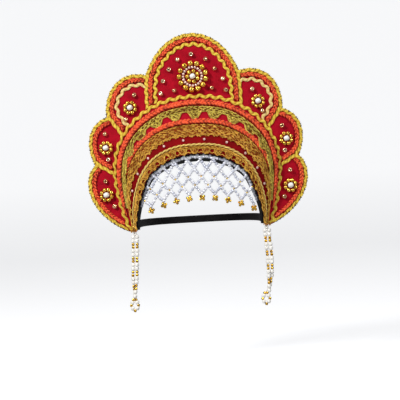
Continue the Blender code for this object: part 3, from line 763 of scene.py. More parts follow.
class Sheet:
    """A node tree that is written in short steps."""

    def __init__(self, tree: bpy.types.NodeTree) -> None:
        """Keep the tree."""
        self.tree = tree

    def put(self, kind: str, inputs: dict[Any, Any] | None = None, **settings: Any) -> Node:
        """Add a node.

        Args:
            kind: Type of the node, without ShaderNode.
            inputs: Values or sockets for its inputs, by name or number.
            settings: Other properties of the node.

        Returns:
            The node.
        """
        node = self.tree.nodes.new("ShaderNode" + kind)
        for name, value in settings.items():
            setattr(node, name, value)
        for name, value in (inputs or {}).items():
            if isinstance(value, Socket):
                self.tree.links.new(value, node.inputs[name])
            else:
                node.inputs[name].default_value = value
        return node

    def maths(self, operation: str, *values: Any) -> Socket:
        """A sum of one, two or three values or sockets."""
        return self.put("Math", dict(enumerate(values)), operation=operation).outputs[0]

    def blend(self, factor: Any, low: Any, high: Any) -> Socket:
        """A mix of two colours."""
        inputs = {"Factor": factor, 6: self.rgba(low), 7: self.rgba(high)}
        return self.put("Mix", inputs, data_type="RGBA").outputs[2]

    def read(self, name: str) -> Socket:
        """A value that the mesh holds at its points."""
        return self.put("Attribute", attribute_name=name).outputs["Fac"]

    def place(self) -> Socket:
        """The place on the object."""
        return self.put("TexCoord").outputs["Object"]

    @staticmethod
    def rgba(colour: Any) -> Any:
        """A colour with alpha, or the socket as it is."""
        return colour if isinstance(colour, Socket) else (*colour, 1.0)


class Effect:
    """A shader node group that several finishes share, built once."""

    name: str = "effect"
    inputs: tuple[tuple[str, float], ...] = ()
    outputs: tuple[str, ...] = ()

    def group(self) -> bpy.types.NodeTree:
        """The group, built if it isn't there yet.

        Returns:
            The node group.
        """
        ready = bpy.data.node_groups.get(self.name)
        if ready is not None:
            return ready
        tree = bpy.data.node_groups.new(self.name, "ShaderNodeTree")
        for label, value in self.inputs:
            socket = tree.interface.new_socket(label, in_out="INPUT", socket_type="NodeSocketFloat")
            socket.default_value = value
        for label in self.outputs:
            tree.interface.new_socket(label, in_out="OUTPUT", socket_type="NodeSocketFloat")
        source = tree.nodes.new("NodeGroupInput")
        target = tree.nodes.new("NodeGroupOutput")
        results = self.write(Sheet(tree), source.outputs)
        for label, socket in zip(self.outputs, results):
            tree.links.new(socket, target.inputs[label])
        return tree

    def write(self, sheet: Sheet, given: Any) -> Sequence[Socket]:
        """Write the group's nodes and return its outputs."""
        raise NotImplementedError

    def use(self, sheet: Sheet, **values: Any) -> bpy.types.NodeOutputs:
        """Place the group in a material, with values or sockets for its inputs, and _ for spaces."""
        inputs = {label.replace("_", " "): value for label, value in values.items()}
        return sheet.put("Group", inputs, node_tree=self.group()).outputs


class Mottle(Effect):
    """Soft and fine blotches, from the place on the object."""

    name = "mottle"
    inputs = (("Coarse Scale", 60.0), ("Fine Scale", 900.0), ("Fine Share", 0.5))
    outputs = ("Shade", "Height")

    def write(self, sheet: Sheet, given: Any) -> Sequence[Socket]:
        """Mix a coarse and a fine noise."""
        place = sheet.place()
        coarse = sheet.put("TexNoise", {"Vector": place, "Scale": given["Coarse Scale"], "Detail": 2.0})
        fine = sheet.put("TexNoise", {"Vector": place, "Scale": given["Fine Scale"], "Detail": 3.0})
        mixed = sheet.put("Mix", {
            "Factor": given["Fine Share"], "A": coarse.outputs["Fac"], "B": fine.outputs["Fac"],
        })
        sharper = sheet.put("MapRange", {
            "Value": mixed.outputs[0], "From Min": 0.32, "From Max": 0.68, "To Min": 0.0, "To Max": 1.0,
        })
        return sharper.outputs[0], fine.outputs["Fac"]


class Ridges(Effect):
    """Yarn or fibre ridges that follow a thread, from its own measure along and across."""

    name = "ridges"
    inputs = (("Pitch", 0.0012), ("Slant", 1.0), ("Chevron", 0.0), ("Noise", 0.15))
    outputs = ("Ridge",)

    def write(self, sheet: Sheet, given: Any) -> Sequence[Socket]:
        """A sine along the thread, slanted by the place across it."""
        across = sheet.read("across")
        folded = sheet.maths("ABSOLUTE", across)
        chevron = sheet.put("Mix", {"Factor": given["Chevron"], "A": across, "B": folded}).outputs[0]
        noise = sheet.put("TexNoise", {"Vector": sheet.place(), "Scale": 500.0}).outputs["Fac"]
        turns = sheet.maths("DIVIDE", sheet.read("along"), given["Pitch"])
        turns = sheet.maths("MULTIPLY_ADD", chevron, given["Slant"], turns)
        turns = sheet.maths("MULTIPLY_ADD", noise, given["Noise"], turns)
        wave = sheet.maths("SINE", sheet.maths("MULTIPLY", turns, math.tau))
        return (sheet.maths("MULTIPLY_ADD", wave, 0.5, 0.5),)


class Weave(Effect):
    """A plain weave of crossing yarns, from the place on the object."""

    name = "weave"
    inputs = (("Scale", 1400.0),)
    outputs = ("Shade",)

    def write(self, sheet: Sheet, given: Any) -> Sequence[Socket]:
        """Two sines at right angles that take turns on top."""
        parts = sheet.put("SeparateXYZ", {0: sheet.place()}).outputs
        round_head = sheet.maths("ADD", parts[0], sheet.maths("MULTIPLY", parts[2], 0.6))
        first = sheet.maths("SINE", sheet.maths("MULTIPLY", round_head, given["Scale"]))
        depth = sheet.maths("ADD", parts[1], sheet.maths("MULTIPLY", parts[2], 0.8))
        second = sheet.maths("SINE", sheet.maths("MULTIPLY", depth, given["Scale"]))
        product = sheet.maths("MULTIPLY", first, second)
        return (sheet.maths("MULTIPLY_ADD", product, 0.5, 0.5),)


@dataclass(frozen=True)
class Finish:
    """A material of the headdress; subclasses write its nodes."""

    name: str
    light: Colour
    dark: Colour

    def material(self) -> bpy.types.Material:
        """The material, built if it isn't there yet.

        Returns:
            The material.
        """
        ready = bpy.data.materials.get(self.name)
        if ready is not None:
            return ready
        made = bpy.data.materials.new(self.name)
        made.use_nodes = True
        sheet = Sheet(made.node_tree)
        shader = made.node_tree.nodes["Principled BSDF"]
        self.write(sheet, shader)
        return made

    def write(self, sheet: Sheet, shader: Node) -> None:
        """Write the material's nodes."""
        raise NotImplementedError

    @staticmethod
    def set(shader: Node, **values: float) -> None:
        """Set plain values on the shader, with _ for spaces."""
        for label, value in values.items():
            shader.inputs[label.replace("_", " ")].default_value = value

    @staticmethod
    def bump(sheet: Sheet, shader: Node, height: Socket, distance: float) -> None:
        """Feed a height into the shader's normal."""
        node = sheet.put("Bump", {"Height": height, "Distance": distance, "Strength": 1.0})
        sheet.tree.links.new(node.outputs[0], shader.inputs["Normal"])

    def paint(self, sheet: Sheet, shader: Node, factor: Socket) -> None:
        """Vary the base colour from dark to light."""
        sheet.tree.links.new(sheet.blend(factor, self.dark, self.light), shader.inputs["Base Color"])

    def wind(
        self, sheet: Sheet, shader: Node, ridge: Socket,
        scales: tuple[float, float], shares: tuple[float, float, float],
    ) -> None:
        """Colour a thread by its ridges, whose grooves get painted shade, by its blotches and by the tone and
        painted shade that its points carry.

        Args:
            sheet: The material's nodes.
            shader: The material's shader.
            ridge: Height of the ridges.
            scales: Scales of the coarse and the fine blotches.
            shares: Weight of the ridges, weight of the tint, and what is taken off.
        """
        mottle = Mottle().use(sheet, Coarse_Scale=scales[0], Fine_Scale=scales[1], Fine_Share=0.5)
        blotch = sheet.maths("MULTIPLY", mottle["Shade"], 0.25)
        # The ridges' share paints shade into the grooves between them.
        shade = sheet.maths("SUBTRACT", sheet.maths("MULTIPLY_ADD", ridge, shares[0], blotch), shares[2])
        shade = sheet.maths("MULTIPLY_ADD", sheet.read("tint"), shares[1], shade)
        self.paint(sheet, shader, sheet.put("Clamp", {0: shade}).outputs[0])


@dataclass(frozen=True)
class Velvet(Finish):
    """Cut pile with a soft sheen."""

    sheen: float = 0.35

    def write(self, sheet: Sheet, shader: Node) -> None:
        """Blotched pile with a fine nap."""
        mottle = Mottle().use(sheet, Coarse_Scale=70.0, Fine_Scale=1300.0, Fine_Share=0.55)
        self.paint(sheet, shader, mottle["Shade"])
        self.set(shader, Roughness=0.9, Sheen_Weight=self.sheen, Sheen_Roughness=0.4, Specular_IOR_Level=0.15)
        shader.inputs["Sheen Tint"].default_value = (*self.light, 1.0)
        self.bump(sheet, shader, mottle["Height"], 0.0004)


@dataclass(frozen=True)
class Yarn(Finish):
    """Dyed yarn of a braid or a rope."""

    pitch: float = 0.0011
    slant: float = 0.9
    chevron: float = 1.0
    relief: float = 0.0002
    gloss: float = 0.45

    def write(self, sheet: Sheet, shader: Node) -> None:
        """Ridged yarn whose tone varies, with painted shade in the grooves between the ridges."""
        ridge = Ridges().use(sheet, Pitch=self.pitch, Slant=self.slant, Chevron=self.chevron)["Ridge"]
        self.wind(sheet, shader, ridge, (220.0, 1500.0), (0.25, 0.8, 0.12))
        self.set(shader, Roughness=1.0 - self.gloss, Specular_IOR_Level=0.25)
        self.bump(sheet, shader, ridge, self.relief)


@dataclass(frozen=True)
class MetalThread(Finish):
    """Thread wrapped in metal foil."""

    metallic: float = 0.55
    roughness: float = 0.36
    pitch: float = 0.0007

    def write(self, sheet: Sheet, shader: Node) -> None:
        """Foil windings with bright and dull turns; painted shade darkens the grooves between them."""
        ridge = Ridges().use(sheet, Pitch=self.pitch, Slant=1.0, Noise=0.6)["Ridge"]
        self.wind(sheet, shader, ridge, (300.0, 1800.0), (0.2, 0.9, 0.2))
        self.set(shader, Metallic=self.metallic, Roughness=self.roughness, Specular_IOR_Level=0.3)
        self.bump(sheet, shader, ridge, 0.0002)


@dataclass(frozen=True)
class Bead(Finish):
    """A glossy bead of metal, glass or pearl."""

    metallic: float = 1.0
    roughness: float = 0.2
    coat: float = 0.0

    def write(self, sheet: Sheet, shader: Node) -> None:
        """Even gloss with a little wear."""
        self.paint(sheet, shader, sheet.read("tint"))
        mottle = Mottle().use(sheet, Coarse_Scale=500.0, Fine_Scale=2500.0, Fine_Share=0.5)
        rough = sheet.maths("MULTIPLY_ADD", mottle["Shade"], 0.12, self.roughness)
        sheet.tree.links.new(rough, shader.inputs["Roughness"])
        self.set(shader, Metallic=self.metallic, Coat_Weight=self.coat, Coat_Roughness=0.08)
        self.bump(sheet, shader, mottle["Height"], 0.00005)


@dataclass(frozen=True)
class Cloth(Finish):
    """Plain matt cloth or ribbed elastic."""

    scale: float = 5200.0

    def write(self, sheet: Sheet, shader: Node) -> None:
        """A plain weave with lint."""
        shade = Weave().use(sheet, Scale=self.scale)["Shade"]
        mottle = Mottle().use(sheet, Coarse_Scale=90.0, Fine_Scale=1600.0, Fine_Share=0.4)
        self.paint(sheet, shader, sheet.maths("MULTIPLY", shade, mottle["Shade"]))
        self.set(shader, Roughness=0.92, Sheen_Weight=0.06, Sheen_Roughness=0.5, Specular_IOR_Level=0.2)
        self.bump(sheet, shader, shade, 0.00025)


@dataclass(frozen=True)
class Paper(Finish):
    """White paper that the camera sees brightly lit, a little greyer near the bottom."""

    floor: float
    glow_low: float
    glow_high: float
    glow_rise: float = 0.3

    def write(self, sheet: Sheet, shader: Node) -> None:
        """Plain paper whose glow grows with the height."""
        shader.inputs["Base Color"].default_value = (*self.dark, 1.0)
        shader.inputs["Emission Color"].default_value = (*self.light, 1.0)
        self.set(shader, Roughness=0.95, Specular_IOR_Level=0.0)
        height = sheet.put("SeparateXYZ", {0: sheet.place()}).outputs[2]
        lift = sheet.put("MapRange", {
            "Value": height, "From Min": self.floor, "From Max": self.floor + self.glow_rise,
            "To Min": self.glow_low, "To Max": self.glow_high,
        }).outputs[0]
        seen = sheet.put("LightPath").outputs["Is Camera Ray"]
        sheet.tree.links.new(sheet.maths("MULTIPLY", lift, seen), shader.inputs["Emission Strength"])


INK = (linear(44, 41, 43), linear(12, 11, 12))
CRIMSON = Velvet("crimson velvet", linear(188, 8, 36), linear(142, 2, 22))
# A darker copy of the crimson velvet: painted shade for the recessed lower part of the brow band.
SHADED_VELVET = Velvet("dark red velvet", linear(148, 0, 8), linear(102, 0, 2), sheen=0.15)
BLACK = Cloth("black cloth", *INK)
ELASTIC = Cloth("black elastic", *INK, scale=3200.0)
# The dark colours of the yarns and metal threads below also serve as painted shade, in grooves and on the low
# and under sides of strands.
YELLOW = Yarn("yellow braid", linear(246, 220, 78), linear(190, 124, 24))
PALE = Yarn("pale braid", linear(250, 226, 150), linear(212, 166, 84))
ORANGE = Yarn("orange rope", linear(255, 100, 56), linear(124, 0, 6), pitch=0.0016, slant=1.0, chevron=0.0,
              relief=0.0003, gloss=0.55)
CORD = MetalThread("bright gold cord", linear(255, 232, 132), linear(176, 92, 20), metallic=0.4, pitch=0.0009)
GIMP_OLIVE = MetalThread("olive gold gimp", linear(255, 234, 108), linear(110, 62, 4), roughness=0.32)
GIMP_AMBER = MetalThread("amber gold gimp", linear(255, 206, 88), linear(148, 54, 4), roughness=0.32)
GROUND_OLIVE = MetalThread("olive lace ground", linear(150, 88, 12), linear(60, 30, 2), metallic=0.2,
                           roughness=0.7)
GROUND_AMBER = MetalThread("amber lace ground", linear(196, 88, 16), linear(92, 24, 2), metallic=0.2,
                           roughness=0.7)
GOLD = Bead("gold bead", linear(255, 216, 96), linear(214, 158, 48))
PEARL = Bead("pearl", linear(252, 244, 234), linear(168, 144, 150), metallic=0.25, coat=0.8)
PINK_PEARL = Bead("small pink pearl", linear(252, 220, 208), linear(230, 186, 172), metallic=0.2, coat=0.8)
SEED_WHITE = Bead("white seed bead", linear(248, 248, 253), linear(200, 204, 220), metallic=0.15,
                  roughness=0.15, coat=0.8)
CRYSTAL = Bead("gold-lined crystal bead", linear(255, 234, 190), linear(214, 144, 72), metallic=0.85,
               roughness=0.08, coat=1.0)


# Sub-assemblies


@dataclass
class PanelPiece:
    """The stiff lobed panel: crimson velvet in front, black cloth behind."""

    layers: int = 24
    edge_round: float = 0.0009
    hem: float = 0.0005
    hem_share: float = 0.92
    hem_steps: tuple[float, ...] = (-0.01, -0.004, 0.004, 0.02, 0.05, 0.08)
    fold_steps: tuple[float, ...] = (-0.004, 0.004, 0.05, 0.08)
    nap: float = 0.00012
    edge_profile: tuple[tuple[float, float], ...] = (
        (1.0, 0.0), (0.35, 0.09), (0.07, 0.25), (0.0, 0.5), (0.07, 0.75), (0.35, 0.91), (1.0, 1.0),
    )

    def angles(self) -> Array:
        """Angles from foot to foot, with one at each notch between lobes."""
        stops = np.radians(LOBE_TABLE[:, 0])
        right = [np.linspace(0.0, stops[0], 71)]
        for low, high in zip(stops, stops[1:]):
            share = (1 - np.cos(np.linspace(0.0, math.pi, 64))) / 2
            right.append(low + (high - low) * share[1:])
        half = np.concatenate(right)
        return np.concatenate((-half[:0:-1], half))

    def build(self) -> None:
        """Build the panel."""
        rng = np.random.default_rng(SEED)
        angle = self.angles()
        seat = LAYOUT.polar(angle, LAYOUT.seat_radius(angle))
        start_y = LAYOUT.panel_front(seat[:, 0], seat[:, 1])
        inner = LAYOUT.head_band_radius(angle, start_y) + LAYOUT.head_band_wall + 2 * LAYOUT.gap
        outer = LAYOUT.outline_radius(angle)
        hem_shares = self.hem_share + np.array(self.hem_steps)
        shares = np.concatenate((np.linspace(0.0, self.hem_share - 0.03, self.layers), hem_shares))[:, None]
        front = LAYOUT.polar(angle, inner + (outer - self.edge_round - inner) * shares)
        front_points = LAYOUT.panel_point(front)
        front_points[1:-1, :, 1] += rng.normal(0.0, self.nap, front_points.shape[:2])[1:-1]
        edge = []
        for inset, depth in self.edge_profile:
            ring = LAYOUT.panel_point(LAYOUT.polar(angle, outer - self.edge_round * inset))
            ring[:, 1] += LAYOUT.panel_wall * depth
            edge.append(ring)
        back_points = LAYOUT.panel_point(front[::-1])
        fold = np.interp(shares[::-1, 0], self.hem_share + np.array(self.fold_steps), (0, 1, 1, 0))
        back_points[..., 1] += LAYOUT.panel_wall + self.hem * fold[:, None]
        draft = Draft()
        draft.sheet(front_points, 0)
        draft.sheet(np.array(edge), 1)
        draft.sheet(back_points, 1)
        draft.sheet(np.stack((back_points[-1], front_points[0])), 1)
        outline = np.concatenate((front_points, np.array(edge)[1:-1], back_points))
        draft.close_ends(outline[:, 0], outline[:, -1], 1, flip=True)
        draft.sew_on("panel", (CRIMSON, BLACK), "crimson_velvet", "front_panel")


@dataclass
class BrowPiece:
    """The sloping crescent of velvet between the panel and the face opening."""

    columns: int = 261
    layers: int = 14
    nap: float = 0.00008

    def build(self) -> None:
        """Build the brow band."""
        rng = np.random.default_rng(SEED + 1)
        angle = np.linspace(-LAYOUT.foot_angle, LAYOUT.foot_angle, self.columns)
        start = LAYOUT.seam_share(angle)
        split = (LAYOUT.station("lace_tips", angle) + LAYOUT.station("rope_two_foot", angle)) / 2
        upper = start + (split - start) * np.linspace(0.0, 1.0, self.layers)[:, None]
        lower = split + (1.0 - split) * np.linspace(0.0, 1.0, self.layers)[1:, None]
        shares = np.concatenate((upper, lower))
        front = LAYOUT.ramp_point(np.broadcast_to(angle, shares.shape), shares)
        back = front + np.array((0.0, LAYOUT.brow_wall, 0.0))
        front[1:-1, :, 1] += rng.normal(0.0, self.nap, front.shape[:2])[1:-1]
        draft = Draft()
        # The upper part of the brow band takes the crimson velvet and the lower part a darker copy of it, as
        # painted shade for the recess by the opening.
        draft.sheet(front[:self.layers], 2, flip=True)
        draft.sheet(front[self.layers - 1:], 0, flip=True)
        draft.sheet(back, 1)
        draft.sheet(np.stack((back[0], front[0])), 2, flip=True)
        draft.sheet(np.stack((front[-1], back[-1])), 1, flip=True)
        outline = np.concatenate((front, back[::-1]))
        draft.close_ends(outline[:, 0], outline[:, -1], 1, flip=True)
        draft.sew_on("brow", (SHADED_VELVET, BLACK, CRIMSON), "dark_velvet", "brow_band")


@dataclass
class HeadBandPiece:
    """The black band that sits on the head, with a turned hem."""

    columns: int = 241
    layers: int = 19
    hem: float = 0.0004
    hem_share: float = 0.86
    hem_width: float = 0.025

    def build(self) -> None:
        """Build the head band."""
        angle = np.linspace(-LAYOUT.foot_angle, LAYOUT.foot_angle, self.columns)
        low, high = LAYOUT.head_band_front(angle), LAYOUT.head_band_back(angle)
        shares = np.linspace(0.0, 1.0, self.layers)[:, None]
        y = low + (high - low) * shares
        hem = self.hem * np.exp(-(((shares - self.hem_share) / self.hem_width) ** 2))
        radius = LAYOUT.head_band_radius(np.broadcast_to(angle, y.shape), y)

        def shell(offset: Array) -> Array:
            """Points of one face of the band."""
            place = LAYOUT.polar(np.broadcast_to(angle, y.shape), radius + offset)
            return np.stack((place[..., 0], y, place[..., 1]), axis=-1)

        inner, outer = shell(hem), shell(LAYOUT.head_band_wall - hem)
        draft = Draft()
        draft.sheet(inner, 0, flip=True)
        draft.sheet(outer, 0)
        draft.sheet(np.stack((outer[0], inner[0])), 0, flip=True)
        draft.sheet(np.stack((inner[-1], outer[-1])), 0, flip=True)
        outline = np.concatenate((inner, outer[::-1]))
        draft.close_ends(outline[:, 0], outline[:, -1])
        draft.sew_on("head_band_cloth", (BLACK,), "black_cloth", "head_band")


@dataclass
class NapeElastic:
    """The flat ribbed elastic round the back of the head."""

    width: float = 0.0090
    thickness: float = 0.0015
    depth: float = 0.1500
    spread: float = 0.0060
    lift: float = 0.0020
    squareness: float = 0.72
    fullness: float = 0.80
    ribs: int = 7
    rib_points: int = 6
    rib_low: float = 0.78
    rib_rise: float = 0.22
    samples: int = 361

    @property
    def foot(self) -> Array:
        """X and Z of the head band's right foot."""
        angle = np.array(LAYOUT.foot_angle)
        return LAYOUT.polar(angle, LAYOUT.seat_radius(angle))

    def route(self, turn: Array) -> Array:
        """X and Y of the elastic's middle, from foot to foot."""
        foot = self.foot
        half = foot[0] + LAYOUT.head_band_wall / 2
        high = foot[1] + self.lift + self.width
        start = LAYOUT.panel_front(half + LAYOUT.head_band_wall, high)
        start += LAYOUT.panel_wall + LAYOUT.head_band_tail + LAYOUT.gap
        share = np.maximum(np.sin(turn), 0.0)
        side = -np.copysign(np.abs(np.cos(turn)) ** self.squareness, np.cos(turn))
        x = side * (half + self.spread * share)
        return np.stack((x, start + self.depth * share ** self.fullness), axis=-1)

    def build(self) -> None:
        """Build the elastic."""
        turn = np.linspace(0.0, math.pi, 1201)
        line = resample(self.route(turn), self.samples)
        tangent = unit(np.gradient(line, axis=0))
        normal = np.stack((-tangent[:, 1], tangent[:, 0]), axis=1)
        low = self.foot[1] + self.lift
        up = np.linspace(0.0, 1.0, self.ribs * self.rib_points + 1)
        rib = self.rib_low + self.rib_rise * np.abs(np.sin(up * self.ribs * math.pi))
        section = [(-0.5 * r, u) for r, u in zip(rib, up)]
        section += [(0.5 * r, u) for r, u in zip(rib[::-1], up[::-1])]
        rings = []
        for out, level in section:
            flat = line + normal * self.thickness * out
            rings.append(np.column_stack((flat, np.full(len(flat), low + self.width * level))))
        grid = np.array(rings).transpose(1, 0, 2)
        draft = Draft()
        draft.sheet(grid, 0, closed=True)
        draft.close_ends(grid[0], grid[-1])
        draft.sew_on("elastic_strap", (ELASTIC,), "elastic", "nape_elastic")


@dataclass
class WavyBraid:
    """A flat woven braid that runs in waves."""

    name: str
    node: str
    slot: str
    finish: Yarn
    width: float
    wave: float
    tail: float = 0.0
    pitch: float = 0.0105
    thickness: float = 0.0016
    fullness: float = 0.9
    step: float = 0.00036
    relief: float = 0.00016
    weave_pitch: float = 0.0013
    seam_depth: float = 0.42
    seam_lean: float = 0.34
    seam_width: float = 0.14
    underside: tuple[float, float] = (0.9, -0.9)
    half_section: tuple[tuple[float, float], ...] = (
        (1.0, 0.18), (0.93, 0.62), (0.78, 0.88), (0.58, 0.98), (0.36, 1.0), (0.12, 0.94),
    )
    shade: float = 0.84
    # Painted shade on the braid's edges, on the slopes of its waves and in its seams.
    edge_shade: float = 0.34
    twist_shade: float = 0.3
    painted_seam_shade: float = 0.75

    def lay(self, bed: Bed, phase: float = 0.0) -> None:
        """Lay the braid along a bed and make it.

        Args:
            bed: Where it is sewn.
            phase: Where its waves start, in turns.
        """
        along = np.linspace(-self.tail, bed.length + self.tail, max(int(bed.length / self.step), 8))
        turn = math.tau * (along / self.pitch + phase)
        offset = self.wave * np.sin(turn)
        slope = np.arctan(self.wave * math.tau / self.pitch * np.cos(turn))
        half_across, half_height = np.array(self.half_section).T
        across = np.concatenate((-half_across, half_across[::-1], self.underside))
        height = np.concatenate((half_height, half_height[::-1], (0.0, 0.0)))
        side = across * (self.width / 2)
        distance = along[:, None] - side * np.sin(slope)[:, None]
        sideways = offset[:, None] + side * np.cos(slope)[:, None]
        chevron = np.sin(math.tau * (along[:, None] / self.weave_pitch + np.abs(across) * 0.9))
        place = (2 * along[:, None] / self.pitch + self.seam_lean * across) % 1.0
        seam = np.exp(-(((place - 0.5) / self.seam_width) ** 2))
        lift = self.thickness * height * (self.fullness - self.seam_depth * seam)
        lift = lift + self.relief * chevron * (height > 0.5)
        distance = np.clip(distance, -self.tail, bed.length + self.tail)
        points = bed.place(distance, sideways / bed.half_at(distance), LAYOUT.gap / 2 + lift)
        # Painted shade: darker towards the edges and in the seams, and on each wave one slope lighter and the
        # other darker.
        twist = self.twist_shade * np.sin(turn)[:, None] * across
        tint = self.shade - self.edge_shade * across ** 4 + twist - self.painted_seam_shade * seam
        draft = Draft()
        draft.sheet(points, closed=True, along=along[:, None], across=across, tint=tint)
        draft.close_ends(points[0], points[-1])
        draft.sew_on(self.name, (self.finish,), self.slot, self.node, sharp=BRAID_SHARP)


@dataclass
class PlaitedRope:
    """A rope plaited from three soft strands."""

    name: str
    node: str
    width: float = 0.0054
    thickness: float = 0.0026
    pitch: float = 0.0128
    step: float = 0.00055
    strands: int = 3
    strand_share: float = 0.37
    strand_sides: int = 9
    strand_flat: float = 0.82
    knot_pitch: float = 0.004
    fuzz_pitch: float = 0.0004

    def lay(self, bed: Bed) -> None:
        """Plait the rope along a bed and make it."""
        along = np.linspace(0.0, bed.length, max(int(bed.length / self.step), 8))
        half = np.minimum(bed.half_at(along) + LAYOUT.trim_gap, self.width / 2)
        strand = half * self.strand_share
        rng = np.random.default_rng(SEED + len(self.name))
        knots = np.linspace(0.0, bed.length, int(bed.length / self.knot_pitch) + 2)
        side = math.tau * np.arange(self.strand_sides) / self.strand_sides
        draft = Draft()
        for number in range(self.strands):
            loose = np.interp(along, knots, rng.normal(0.0, 1.0, len(knots)))
            turn = math.tau * (along / self.pitch + number / self.strands) + 0.16 * loose
            height = self.thickness * (0.50 + 0.27 * np.sin(2 * turn))
            share = (half - strand) * np.sin(turn) / bed.half_at(along)
            path = bed.place(along, share, LAYOUT.gap / 2 + height)
            # Painted shade: each strand is darker where it dips low in the plait and on its underside,
            # lighter on top; the loose term adds random tone.
            tint = 0.16 + (0.62 * np.sin(2 * turn) + 0.26 * loose)[:, None] + 0.34 * np.sin(side)
            lumps = strand * (1.0 + 0.10 * np.sin(along / self.fuzz_pitch + loose) + 0.10 * loose)
            draft.tube(path, lumps, sides=self.strand_sides, tint=np.clip(tint, 0.0, 1.0),
                       out=bed.normal(along, share), flat=self.strand_flat)
        draft.sew_on(self.name, (ORANGE,), "orange_rope", self.node, sharp=THREAD_SHARP)


@dataclass
class LobeTrims:
    """Edge braids, ropes and inner braids of the seven lobes, and the braid along the arch."""

    edge_margin: float = 0.0002
    edge_width: float = 0.0044
    edge_wave: float = 0.00045
    edge_phase: float = 0.37
    rope_width: float = 0.0048
    inner_width: float = 0.0044
    inner_ribbon: float = 0.0038
    inner_wave: float = 0.0010
    inner_phase: float = 0.29
    arch_ribbon: float = 0.0040
    arch_wave: float = 0.0011
    arch_pitch: float = 0.0118
    arch_phase: float = 0.1
    inner_space: float = 0.0012
    samples: int = 301
    arch_end: float = 96.3
    tail: float = 0.0016
    stitch_end: float = 95.5
    stitch_pitch: float = 0.0046
    stitch_radius: float = 0.00028
    stitch_lean: float = 0.0004
    stitch_reach: tuple[float, float] = (0.0008, 0.0018)

    def bed(self, lobe: Lobe, side: Side, outer: float, inner: float) -> Bed:
        """The bed between two insets of a lobe.

        Args:
            lobe: The lobe.
            side: Its side; the centre's bed goes round both.
            outer: The outer inset.
            inner: The inner inset.

        Returns:
            The bed.
        """
        mirror = np.array((-1.0, 1.0))
        lines = []
        for inset in (outer, inner):
            line = LAYOUT.lobe_line(lobe, inset, self.samples)
            if lobe is Lobe.CENTRE:
                line = np.concatenate(((line * mirror)[:0:-1], line))
            elif side is Side.LEFT:
                line = line * mirror
            lines.append(line)
        return Bed.on_panel(*lines)

    def build(self) -> None:
        """Build the trims of every lobe, the braid along the arch and the stitches."""
        braid_foot = self.edge_margin + self.edge_width
        rope_foot = braid_foot + LAYOUT.trim_gap + self.rope_width
        inner_top = rope_foot + self.inner_space
        for number, (label, lobe, side) in enumerate(lobe_places()):
            braid = WavyBraid(f"edge_wave_{label}", f"edge_braid_{label}", "yellow_braid", YELLOW,
                              self.edge_width, self.edge_wave, self.tail)
            braid.lay(self.bed(lobe, side, self.edge_margin, braid_foot), phase=number * self.edge_phase)
            rope = PlaitedRope(f"plait_{label}", f"rope_{label}")
            rope.lay(self.bed(lobe, side, braid_foot + LAYOUT.trim_gap, rope_foot))
            if lobe in (Lobe.CENTRE, Lobe.UPPER):
                slot, finish = ("yellow_braid", YELLOW) if lobe is Lobe.CENTRE else ("pale_braid", PALE)
                inner = WavyBraid(f"inner_wave_{label}", f"inner_braid_{label}", slot, finish,
                                  self.inner_ribbon, self.inner_wave, self.tail)
                bed = self.bed(lobe, side, inner_top, inner_top + self.inner_width)
                inner.lay(bed, phase=number * self.inner_phase)
        self.arch()
        self.stitches()

    def stitches(self) -> None:
        """Black thread that whips the braids to the panel's edge."""
        rng = np.random.default_rng(SEED + 29)
        angle = np.radians(np.linspace(-self.stitch_end, self.stitch_end, 1801))
        line = LAYOUT.polar(angle, LAYOUT.outline_radius(angle))
        count = int(np.sum(steps_of(line)) / self.stitch_pitch)
        line = resample(line, count * 4 + 1)
        tangent = unit(np.gradient(line, axis=0))
        inward = np.stack((tangent[:, 1], -tangent[:, 0]), axis=1)
        draft = Draft()
        for at in range(2, count * 4, 4):
            at += int(rng.integers(-1, 2))
            lean = tangent[at] * rng.normal(0.0, self.stitch_lean)
            reach = rng.uniform(*self.stitch_reach)
            path = []
            for inset, height in ((reach + 0.0010, 0.0013), (reach, 0.0019), (-0.0003, 0.0009),
                                  (-0.0003, -0.0015), (0.0010, -LAYOUT.panel_wall - 0.0002)):
                place = line[at] + inward[at] * inset + lean * (inset / reach)
                path.append(LAYOUT.panel_point(place) + LAYOUT.panel_normal(place) * height)
            out = np.tile((tangent[at][0], 0.0, tangent[at][1]), (len(path), 1))
            draft.tube(np.array(path), self.stitch_radius, sides=5, out=out)
        draft.sew_on("edge_stitches", (BLACK,), "black_cloth")

    def arch(self) -> None:
        """The braid along the seam of panel and brow band."""
        angle = np.radians(np.linspace(-self.arch_end, self.arch_end, 601))
        half = LAYOUT.braid_width / 2
        radius = LAYOUT.arch_radius(angle)
        bed = Bed.on_panel(LAYOUT.polar(angle, radius + half), LAYOUT.polar(angle, radius - half))
        braid = WavyBraid("arch_wave", "arch_braid", "yellow_braid", YELLOW, self.arch_ribbon,
                          self.arch_wave, pitch=self.arch_pitch)
        braid.lay(bed, phase=self.arch_phase)


@dataclass(frozen=True)
class ThreadRow:
    """A row of looping thread in a lace, with shares of the lace's width and metres."""

    middle: float
    reach: float
    pitch: float
    radius: float
    tint: float


